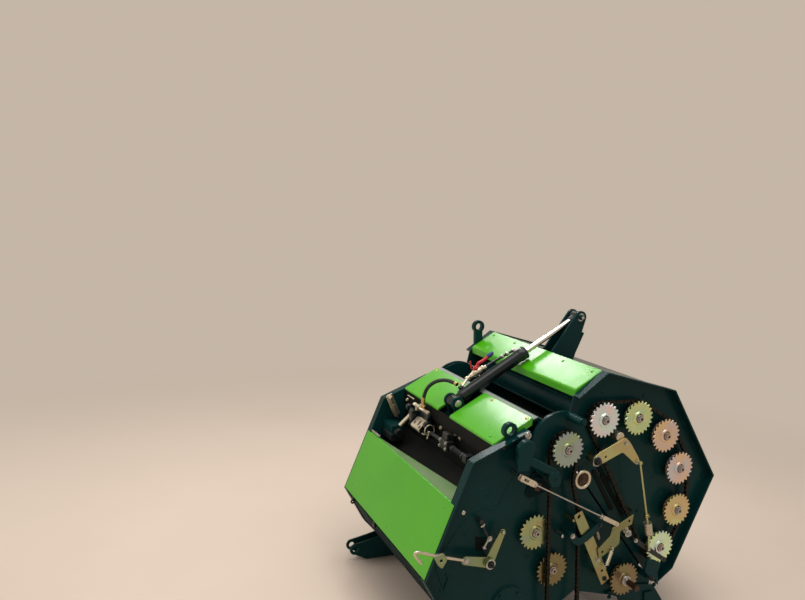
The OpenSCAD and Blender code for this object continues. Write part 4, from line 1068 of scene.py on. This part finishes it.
# a pale strip on the cover beam, whose pale grey is painted reflection
beamStrip = wideSheet([(321, 296), (304, 303), (257, 280), (246, 267)], 1, 2.4)
piece("topCoverSheet", topCover, "limePaint", "tailgate", "lime", "tail_cover")
piece("coverApronShade", [apronShade], "paintedShadeGrime", "frame", "paint")
piece("midCoverSheet", noseCover, "limePaint", "frame", "lime", "mid_cover")
piece("beamStrip", [beamStrip], "dustAndReflectionGrey", "frame", "paint")

panelLook = {"head": (550, 182), "foot": (683, -190), "start": 0.365, "overlap": 375, "skin": 1.8}
panelTop = panelLook["head"] + panelLook["start"] * np.subtract(panelLook["foot"], panelLook["head"])
outwards = unit((372.0, 133.0))
outerLine = [panelTop + outwards * 1.1, (681.0, -184.4) + outwards * 1.1]
panelSheet = [wideSheet([panelTop + (-6, -1), panelTop + (-0.5, -0.5), (678, -185), (660, -191)], 0.4)]
panelSheet += [bentSheet([panelTop + (-5, -6), (672, -183)], y - 1.2, y + 1.2, 12.0)
               for y in (2 - halfWidth, halfWidth - 2)]
panelSheet += [bentSheet(outerLine, -panelLook["overlap"], panelLook["overlap"], panelLook["skin"],
                         edge=0.7)]
# The flange behind the panel's top edge is dull olive lime: painted shade and reflection, with dust
sweep = np.linspace(0, 1, 24)[:, None]  # a flange that widens from nothing at the far end
back, top = np.array([(1, 0), (0, 0), (0, 1), (1, 1)]).T
depth = (6 + 100 * sweep) * back
flangeGrid = np.stack([598 - depth, -349 + 698 * sweep + 0 * back, 43.4 - 0.05 * depth - 2.4 * (1 - top)],
                      -1)
hookRows = [(4.0, -3), (8.0, -3), (9.5, -1.5), (9.5, 1.5), (8.0, 3), (4.0, 3)]
hooks = [hoop(hookRows, (679, -287, -210), 24), rod((679, -287, -203), (677, -287, -186), 4.0, 14)]
hooks += [rod((676, -55, -186), (679, -55, -203), 6.0), rod((679, -66, -202), (679, -44, -202), 5.0)]
piece("frontPanelSheet", panelSheet, "limePaint", "frame", "lime", "front_panel")
piece("panelFlange", [gridShape(flangeGrid)], "dustAndShadeLime", "frame", "lime")
piece("panelHooks", hooks, "blackPaint", "frame", "black")
print("covers folded")


# Lift cylinder: places along it are [distance from the base pin, left, up from its axis]

cylinder = {"base": (424.0, 262.0), "end": (-78.0, 577.0), "pin": 9.9}
cylinderBase, cylinderEnd = atLeft(cylinder["base"], 0), atLeft(cylinder["end"], 0)
cylinderAlong = unit(cylinderEnd - cylinderBase)
cylinderUp = np.cross(cylinderAlong, left) * -1.0
cylinderAxes = np.stack([cylinderAlong, left, cylinderUp])


def onCylinder(places):
    return cylinderBase + np.asarray(places, float) @ cylinderAxes


def onValve(places):  # counted from the knob of the shut-off valve
    return onCylinder(np.add(places, (143.0, -37.0, 27.0)))


def hexRun(place, length, across):  # six-sided union along the cylinder
    rows = [(across * 0.8, 0), (across, 1.2, 1), (across, length - 1.2, 1), (across * 0.8, length)]
    return spun(rows, place, cylinderAlong, 24, 6)


barrelRows = [(16, 8), (17.8, 9.5), (18, 30), (20, 33), (22.6, 36), (23, 38), (23, 304), (23.4, 305)]
barrelRows += [(24, 306), (24, 333), (22.6, 336), (11.5, 336), (11.3, 322)]
eyeRows = [(10.2, -20), (20.5, -20), (22, -18.5), (22, 18.5), (20.5, 20), (10.2, 20)]
seam = np.linspace(0, 2 * np.pi, 40)
barrelShapes = [spun(barrelRows, cylinderBase, cylinderAlong, 48), hoop(eyeRows, cylinderBase, 40)]
barrelShapes += [rod(*onCylinder([(52, -17, 4), (52, -17, 27)]), 9.5, 20, 1.5)]
barrelShapes += [weld(onCylinder(np.stack([34.5 + 0 * seam, 20.5 * np.sin(seam), 20.5 * np.cos(seam)], -1)),
                      2.4)]
glandRows = [(24.2, 328), (25.0, 329), (25.0, 334.5), (23.5, 336.5), (17.0, 338.5), (12.2, 339.5),
             (11.4, 336)]
gland = [spun(glandRows, cylinderBase, cylinderAlong, 40)]
for angle in (0.5, 2.6, 4.7):
    outward = np.array([0, math.sin(angle), math.cos(angle)])
    screwAt = onCylinder((331.5, 0, 0) + 24.6 * outward)
    gland.append(spun([(3.0, 0), (3.0, 1.2), (0.01, 1.2)], screwAt, outward @ cylinderAxes, 8))
pinRows = [(0.01, 8.0), (7.5, 7.4), (11.5, 6.0), (14.5, 3.6), (15.0, 1.0), (15.0, 0.2), (0.01, 0.2)]
basePin = [spun(pinRows, cylinderBase + s * 33.0 * left, s * left, 32) for s in (-1, 1)]
basePin += [rod(cylinderBase - 33.5 * left, cylinderBase + 33.5 * left, cylinder["pin"], 24)]
pistonRows = [(9.6, 247), (11, 248.5), (11, 565), (10.2, 570), (10.0, 575)]
diskRows = [(0.01, -16), (18.5, -16), (20, -14.5), (20, 14.5), (18.5, 16), (0.01, 16)]
rodEye = [spun(diskRows, cylinderEnd, sides=36)]
rodEye += [spun([(11.2, 556), (14.0, 558), (15.0, 572), (14.0, 580)], cylinderBase, cylinderAlong, 28)]
leverPinRows = [(0.01, -0.8), (15.5, -0.8), (15.5, 0.2), (9.9, 0.2), (9.9, 8.5), (9.0, 10.5), (6.0, 12.0),
                (0.01, 12.5)]
leverPin = [spun(leverPinRows, cylinderEnd + s * 30.2 * left, s * left, 28) for s in (-1, 1)]
piece("liftBarrel", barrelShapes, "blackPaint", "lift_barrel", "black", "cylinder_barrel")
piece("barrelGland", gland, "darkSteel", "lift_barrel", "black")
piece("basePin", basePin, "brightZinc", "lift_barrel", "zinc")
piece("pistonRod", [spun(pistonRows, cylinderBase, cylinderAlong, 36)], "chromeRod", "lift_rod", "chrome",
      "cylinder_rod")
piece("rodEye", rodEye, "darkSteel", "lift_rod", "black")
piece("leverPin", leverPin, "brightZinc", "tailgate", "zinc")

# Shut-off valve and pipe on the far side of the barrel
middle, sideways = onValve((0, 0, 0)), (0, 1, 0.1)
ballRows = [(8, -22), (11.5, -18), (13.6, -12), (14.2, 0), (13.6, 12), (11.5, 18), (8, 22)]
valve = [spun(ballRows, middle, cylinderAlong, 24),
         spun([(5.5, -44), (5.5, -30)], middle, cylinderAlong, 14)]
valve += [hexRun(onValve((t, 0, 0)), length, across)
          for t, length, across in ((-34, 14, 9.0), (20, 12, 9.0), (-52, 10, 8.2))]
valve += [rod(onValve((-44, 0, 0)), onCylinder((52, -17, 20)), 5.5, 14)]
gripLine = throughPoints(onValve([(-2, 0, 17), (14, 0, 20), (20, 0, 25), (40, 0, 23), (70, 0, 26)]))
capLine = onValve((62, 0, 25.6) + np.linspace(0, 1, 6)[:, None] * (28, 0, 3))
pipeLine = throughPoints(onCylinder([(173, -37, 27), (190, -37, 23), (250, -36, 20), (300, -33, 16),
                                     (318, -28, 11)]))
handle = [tube(gripLine, 6.4, 12, sideways), rod(*onValve([(-15, 0, 22), (-6, 0, 51)]), 3.0, 10)]
handle += [spun([(9.5, 0), (10.5, 1.5), (10.5, 9), (8, 12)], onValve((0, 0, 8)), cylinderUp)]
hexes = [((254, -36, 20), 10, 8.4), ((276, -35, 18.4), 12, 8.4), ((304, -32, 15.4), 10, 8.6),
         ((172, -37, 23), 12, 8.0)]
pipeUnions = [hexRun(onCylinder(place), length, across) for place, length, across in hexes]
pipeUnions += [rod(*onCylinder([(316, -22, 8), (316, -36, 16)]), 7.0),
               rod(*onCylinder([(104, -37, 16), (112, -37, 30)]), 4.5, 12)]
piece("shutOffValve", valve, "creamZinc", "lift_barrel", "zinc")
piece("valveHandle", handle, "redLever", "lift_barrel", "black")
piece("handleCap", [tube(capLine, [6.6, 8.0, 8.6, 8.6, 7.8, 4.4], lean=sideways)], "blueCap", "lift_barrel",
      "black")
piece("farPipe", [tube(pipeLine, 5.0, lean=sideways)], "blackPaint", "lift_barrel", "black")
piece("pipeUnions", pipeUnions, "brightZinc", "lift_barrel", "zinc")
print("cylinder dressed")


# Oil hose and its ends

hoseLook = {"radius": 7.0, "lean": (0.1, 1.0, -0.25), "crimp": [8.4, 8.6, 8.6, 8.2, 8.6, 8.6]}
hosePoints = [
    (487, -120, 219.5), (488, -119, 240), (486, -115, 264), (479, -108, 288), (466, -98, 306),
    (450, -88, 317),
    (434, -78, 322), (419, -68, 322), (407, -57, 319), (398, -47, 316), (395.4, -39, 314.2),
]
hoseLine, crimp, hoseLean = throughPoints(hosePoints), hoseLook["crimp"], hoseLook["lean"]
ferrules = [tube(hoseLine[:9], [7.2, *crimp, 8.2, 7.3], 16, hoseLean),
            tube(hoseLine[-9:], [7.3, 8.2, 8.6, *crimp[2:], 8.4, 7.2], 16, hoseLean)]
ferrules += [spun([(6.0, -3), (9.8, -2, 1), (9.8, 8, 1), (7.5, 9.5)], (487, -120, 208), up, 24, 6)]
piece("oilHose", [tube(hoseLine, hoseLook["radius"], 18, hoseLean)], "rubber", "frame", "hose", "oil_hose")
piece("hoseFerrules", ferrules, "brass", "frame", "zinc")


# Valve bank, tying gear and small fittings in the open bay

sectionCorners = [(464, 122), (511, 122), (513, 131), (486, 161), (478, 184), (464, 184)]
bank = [plate(boxOutline(464, 511, 122, 184), -189, -164, 4.0, 1.2)]
bank += [plate(sectionCorners, y0, y0 + 24.4, 3.0, 1.2) for y0 in (-162, -137, -112)]
capRows = [(13, 0), (16, 1.5), (16, 14), (14, 16), (9, 17), (9, 19.5), (7.5, 20.6), (0.01, 20.6)]
bank += [spun(capRows, (487, -189, 153), -left)]
bank += [spun([(13, 0), (16, 1.5), (16, 16), (12, 18), (0.01, 18)], (487, -81, 153))]
bank += [spun([(12, 0), (14, 1.5), (14, 18), (12, 20), (0.01, 20)], (487, -250, 174), sides=28)]
bank += [bentSheet([(455, 100), (487, 118), (487, 123)], -186, -84, 8.0, 6.0),
         rod((487, -262, 174), (487, -190, 174), 6.0)]
bankPlate = [bentSheet([(511, 124), (515.5, 133), (489, 163.5), (480, 160)], -157, -84, 2.6, 5.0)]
bankPlate += [rod((488, -132, 165.5), (488, -84, 165.5), 2.2, 10)]
bankPlate += [plate(boxOutline(470, 506, 121, 124.6), -80, -62, 1.0, 0.5, steps=3)]
slotBars = [((509, 140.5), (501, 149.5), -141), ((507, 142.5), (493, 159.5), -112),
            ((512, 137), (505, 145), -93)]
bankSlots = [plate(barOutline(a, b, 5.4), y - 3.4, y + 3.4, 1.2, 0.5, steps=3) for a, b, y in slotBars]
piece("valveBank", bank, "blackPaint", "frame", "cast", "valve_block")
piece("bankPlate", bankPlate, "creamZinc", "frame", "zinc")
piece("bankSlots", bankSlots, "rubber", "frame", "cast")

shortRows = [(5.5, 0), (7.4, 1.2, 1), (7.4, 14, 1), (6.2, 15), (6.2, 19), (7.0, 19.6), (7.0, 50), (5.5, 51)]
longRows = [(5.0, 0), (7.2, 1.2, 1), (7.2, 20, 1), (5.8, 21), (5.8, 52), (7.2, 53, 1), (7.2, 72, 1),
            (5.2, 73.2)]
unions = [spun(shortRows, (490, -193, 202), left, 24, 6), spun(longRows, (490, -136, 202), left, 24, 6)]
unions += [rod((497, -200, 158), (541, -200, 116), 8.4, 20, 1.2),
           rod((483, -270, 214.5), (483, -211, 214.5), 2.4, 10)]
unions += [rod((470, -174, 180), (470, -174, 205), 6.6), rod((490, -168, 184), (490, -168, 203), 5.6, 14)]
unions += [rod((487, -60, 133), (487, -50, 133), 5.0), rod((487, -54, 131), (494, -54, 108), 2.0, 10)]
unions += [tube(atLeft(circleAt((485, 140), 19.5, np.arange(42) * 9), -56), 2.0, 8, (0.02, 1, 0.01))]
wallBolts = [(453, y, z) for y, z in ((36, 149), (118, 167), (85, 168), (-30, 156), (-220, 150))]
unions += [bolts("hex", wallBolts, 0.75, forward), bolts("dome", (482, -272, 195), 0.9)]
piece("valveUnions", unions, "creamZinc", "frame", "zinc")

twine = [plate(boxOutline(464, 494, 112, 148), 40, 100, 5.0, 1.5),
         plate(boxOutline(470, 488, 146, 172), 52, 88, 4.0, 1.2)]
twine += [plate(boxOutline(458, 492, 118, 146), 210, 236, 4.0, 1.2),
          plate(boxOutline(494, 548, 34, 64), -350, -260, 4.0, 1.2)]
twine += [rod((478, -60, 130), (478, 350, 130), 7.0, 20), rod((520, -350, 70), (520, -240, 70), 17, 28, 2)]
twine += [rod((487, -240, 174), (487, -236, 150), 4.0, 12)]
twineTrim = [plate(boxOutline(588, 595, 49, 58), -347, -270, 1.0, 0.5, steps=3)]
twineTrim += [bolts("hex", [(494, y, z) for y, z in ((48, 120), (92, 120), (48, 141), (92, 141))], 0.6,
                    forward)]
collarRows = [(7.2, 0), (12, 0), (12.6, 0.8), (12.6, 9), (12, 10), (7.2, 10)]
twineSpring = [hoop(collarRows, [(478, 118, 130), (478, 190, 130)], 28)]
twineSpring += [coil((478, 130, 130), (478, 188, 130), 9.6, 1.4, 9.0, 6, 12)]
farPlate = [plate([(545, 192), (520, 205), (476, 118), (500, 104)], -346, -342.4, 4.0, 0.8,
                  [(512, 160, 5.0)])]
farPlate += [bentSheet([(528, 199), (536, 188), (496, 110)], -343, -318, 2.6, 3.0)]
piece("twineGear", twine, "darkSteel", "frame", "cast", "twine_gear")
piece("farBox", [plate(boxOutline(494, 546, 44, 96), -349, -262, 4.0, 1.5)], "tealPaint", "frame", "paint")
piece("twineTrim", twineTrim, "brightZinc", "frame", "zinc")
piece("twineSpring", twineSpring, "darkSteel", "frame", "black")
piece("farPlate", farPlate, "creamZinc", "frame", "zinc")
print("bay fitted")


# Bolts, nuts and rivets

greaseRows = [(5.0, 0), (5.0, 3), (2.6, 4), (2.6, 8), (3.4, 9), (2.0, 12), (0.01, 12)]
domes = {
    "frame": [(592, -189), (611, -237), (540, -60), (430, -210), (300, -170), (90, -240), (130, -290),
              (470, 60), (300, 10)],
    "tailgate": [(-278, -250), (-151, -59), (-392, -80), (-430, 30), (-300, 225), (-120, 360), (60, 380),
                 (-200, 60), (-40, 30)],
}
bolted = {"frame": [], "tailgate": []}
for number in range(2, 12):
    centre, target = rollerAxes[number - 1], bolted["tailgate" if number < 8 else "frame"]
    around = circleAt(centre, 39.0, np.arange(3) * 120 + ring["angles"][number - 1] + 60)
    target += [bolts("hex", atLeft(around, s * plateFace), 0.62, s * left) for s in (1, -1)]
    target.append(spun(greaseRows, atLeft(centre + (0, 22), -368.0), -left, 12))
for s in (1, -1):
    for body, places in domes.items():
        bolted[body].append(bolts("dome", atLeft(places, s * plateFace), 0.9, s * left))
    hubBolts = circleAt((360, -325), 48, np.arange(4) * 90 + 45)
    footNuts, footBolts = [(-188, -440), (-290, -440)], [(-60, -366), (-120, -350), (-262, -352)]
    for kind, places, size in (("hex", hubBolts, 0.8), ("stud", footNuts, 0.75), ("hex", footBolts, 0.75)):
        bolted["frame"].append(bolts(kind, atLeft(places, s * flangeFace), size, s * left))
coverNormal, tailNormal, panelNormal = (0.499, 0, 0.866), (0.53, 0, 0.848), unit((372.0, 0, 133.0))
coverBolts = bolts("dome", [(336, y, 296.0) for y in (-334, -116, 116, 334)], 0.9, coverNormal)
coverRivets = [bolts("dome", [(446, y, 233.5) for y in (-300, 300)], 0.8, coverNormal)]
panelPlaces = np.array([(x, y, z) for y in (-325, 325) for x, z in ((606, 22), (668, -150))])
coverRivets += [bolts("dome", panelPlaces + panelNormal * 2.1, 0.7, panelNormal)]
tailRivets = bolts("dome", [(84, y, 440.5) for y in (-320, -160, 160, 320)], 0.8, tailNormal)
brightFrame = [bolts("dome", (553, s * plateFace, 10), 1.0, s * left) for s in (1, -1)]
brightTail = bolts("dome", [(x, y, z) for y in (-375, 375) for x, z in ((-433, -33), (-368, -183))], 1.1,
                   (-0.917, 0, -0.399))
piece("tailRivets", [tailRivets], "limePaint", "tailgate", "lime")
piece("coverRivets", coverRivets, "limePaint", "frame", "lime")
piece("coverBolts", [coverBolts], "brass", "frame", "zinc")
piece("frameFasteners", bolted["frame"], "tealPaint", "frame", "paint")
piece("tailFasteners", bolted["tailgate"], "tealPaint", "tailgate", "paint")
piece("brightFrameBolts", brightFrame, "brightZinc", "frame", "zinc")
piece("brightTailBolts", [brightTail], "brightZinc", "tailgate", "zinc")
print("fasteners set")


# Pickup reel with its spring tines: [radius out from the axis, left, across] on each bar

reelLook = {"axis": (360.0, -325.0), "rows": 8, "span": 326.0, "pair": 14.0, "bolt": 48.0, "tip": 107.5,
            "wire": 2.9,
            "coil": 7.0, "rise": 6.5, "lean": 9.0, "bars": 4, "first": 20.0}


def tineShape():
    # Two and a half turns round the bar's bolt, then a leg that leans back by the square of its length
    foot, rise = reelLook["bolt"], reelLook["rise"]
    turn, t = np.linspace(0, 5 * np.pi, 34), np.linspace(0, 1, 9)[1:]
    sideways = -7.5 + 7.5 * turn / turn[-1]
    wound = [foot - reelLook["coil"] * np.cos(turn), sideways, rise + reelLook["coil"] * np.sin(turn)]
    out = foot + t * (reelLook["tip"] - foot) - 7.0 * (1 - t) ** 3
    leg = np.stack([out, 0 * t, rise - reelLook["lean"] * t**2], -1)[out > 52]
    return tube(np.concatenate([np.stack(wound, -1)[:2:-1], leg]), reelLook["wire"], 7,
                lean=(0.13, 0.2, 1.0))


angle = np.radians(reelLook["first"] + 360 / reelLook["bars"] * np.arange(reelLook["bars"]))
outward = np.stack([np.cos(angle), 0 * angle, -np.sin(angle)], -1)
alongReel = np.broadcast_to(left, outward.shape)
reelFrames = np.stack([outward, alongReel, np.cross(outward, alongReel)], 1)  # each bar's own axes
reelAxis = atLeft(reelLook["axis"], 0)
drumRows = [(20, -339), (29, -339), (30, -338), (30, 338), (29, 339), (20, 339)]
reelShapes = [spun(drumRows, reelAxis, sides=40)]
reelShapes += [spun([(13, -364), (14, -363), (14, 363), (13, 364)], reelAxis, sides=28)]
for y in (-334, 329):
    reelShapes.append(spun([(30, y), (56, y), (57, y + 1), (57, y + 4), (56, y + 5), (30, y + 5)], reelAxis,
                           sides=48))
bands = reelLook["span"] * (2 * (np.arange(reelLook["rows"]) + 0.5) / reelLook["rows"] - 1)
tinePoints, tineFaces = tineShape()
nutRows = [(0.01, -1), (7.6, -1, 1), (7.6, 5, 1), (6.4, 6, 1), (0.01, 6)]
oneBar = [slab(boxOutline(26, 56, -3, 3), -336, 336, 0.7)]
oneBar += [spun(nutRows, [(reelLook["bolt"], y, 10.5) for y in bands], up, 12, 6)]
for s in (-1, 1):
    mirrored = (tinePoints * (1, s, 1), [face[::s] for face in tineFaces])
    oneBar.append(copies(mirrored, [(0.0, y + s * reelLook["pair"], 0.0) for y in bands]))
reelShapes.append(copies(together(oneBar), [reelAxis] * reelLook["bars"], reelFrames))
piece("tineReel", reelShapes, "darkSteel", "pickup", "black", "pickup_reel")
print("tines wound")


# Weld beads, pressed ribs and plates on the sheets

weldLook = {"from": 20, "inset": 6.2, "first": 30, "step": 95, "length": 34}
beads = {"frame": [], "tailgate": []}
edges = {  # corners along the plates' rims and the side on which the beads lie
    "frame": ([(353, 270), (550, 182), (683, -190), (600, -325), (528, -400), (372, -471)], 1),
    "tailgate": ([(175, 370), (66, 452), (-236, 380), (-470, 52), (-322, -288)], -1),
}
for name, (corners, inward) in edges.items():
    for a, b in zip(np.array(corners[:-1], float), np.array(corners[1:], float)):
        d = unit(b - a)
        start = a + d * weldLook["from"] + np.array([d[1], -d[0]]) * inward * weldLook["inset"]
        run = np.linalg.norm(b - a) - 2 * weldLook["from"]
        for k in range(int(run // weldLook["step"])):
            s0 = start + d * (weldLook["first"] + weldLook["step"] * k)
            for y in (356.6, -356.6):
                beads[name].append(weld(atLeft([s0, s0 + d * weldLook["length"]], y), 2.3))
pressed = softened([(377, 119), (437, 10), (508, 21), (560, -30), (640, -150), (600, -240)], 26, 8)
for s in (1, -1):
    beads["frame"] += [weld(atLeft(circleAt((360, -325), 62.4, np.linspace(0, 360, 90)), s * 356.8))]
    beads["frame"] += [weld(atLeft([(-40, -349), (-98, -369), (-150, -408)], s * 364.2))]
    beads["frame"] += [weld([(380, s * y, 219.5), (424, s * y, 219.5)]) for y in (21.8, 34.0)]
    beads["frame"] += [tube(atLeft(pressed, s * 354.4), 4.0, 12, (0.02, 1, 0.01))]
    beads["tailgate"] += [weld(atLeft(circleAt((-8, 390), 24.6, np.linspace(-10, 190, 40)), s * 31.0))]
beads["tailgate"] += [weld(atLeft(circleAt((195, 306), 14.6, np.linspace(0, 360, 40)), 370.6), 2.0)]
for name, shapes in beads.items():
    piece(name + "Welds", shapes, "tealPaint", name, "paint")

footShapes = [plate(boxOutline(-320, -150, -471, -468.5), *ends, 0.8, 0.6, steps=3)
              for ends in ((356, 384), (-384, -356))]
webCorners = [(-238, -470), (-232, -470), (-214, -372), (-256, -372)]
footShapes += [plate(webCorners, *ends, 2, 0.6, steps=3) for ends in ((364, 372), (-372, -364))]
hitchRows = [(11.4, 0), (19.0, 0), (20.0, 0.8), (20.0, 2.4), (19.2, 3.2), (11.4, 3.2)]
hitchWashers = [hoop(hitchRows, [(650, y, -420) for y in (350.1, 296.7, -353.3, -299.9)], 36)]
piece("footPlates", footShapes, "tealPaint", "frame", "paint")
piece("hitchWashers", hitchWashers, "tealPaint", "frame", "paint")
print("welds and plates added")


# Finishes of the parts that keep their own shape

partFinishes = {
    "limePaint": ["front_panel", "mid_cover", "tail_cover"],
    "tealPaint": ["roller_%d" % k for k in range(1, 12)] + [
        "front_plate_left", "front_plate_right", "cover_beam", "hitch_arms", "rear_feet", "pickup_frame",
        "guide_bracket", "tail_plate_left", "tail_plate_right", "hinge_rings", "tail_skin", "tail_beam",
        "tail_lever", "trip_strap", "latch_catch",
    ],
    "darkSteel": ["pickup_reel"],
    # the bay's tray gets near-black painted shade
    "shadedPaint": ["nose_sheet"],
    "paintedShadeGrime": ["bay_tray"],
    "blackPaint": ["cylinder_barrel", "valve_block", "twine_gear"],
    "rubber": ["oil_hose"],
    "chromeRod": ["cylinder_rod"],
    "leverZinc": ["idler_ring", "clevis_rod", "trip_bar", "trip_lever", "bell_crank", "latch_lever",
                  "latch_rod"],
    "chainSteel": ["front_chain", "tail_chain"],
    "brightZinc": ["sprocket_%d" % k for k in range(1, 11)],
}
for finishName, names in partFinishes.items():
    for name in names:
        parts[name].data.materials.clear()
        parts[name].data.materials.append(finishes[finishName])
print("parts finished")
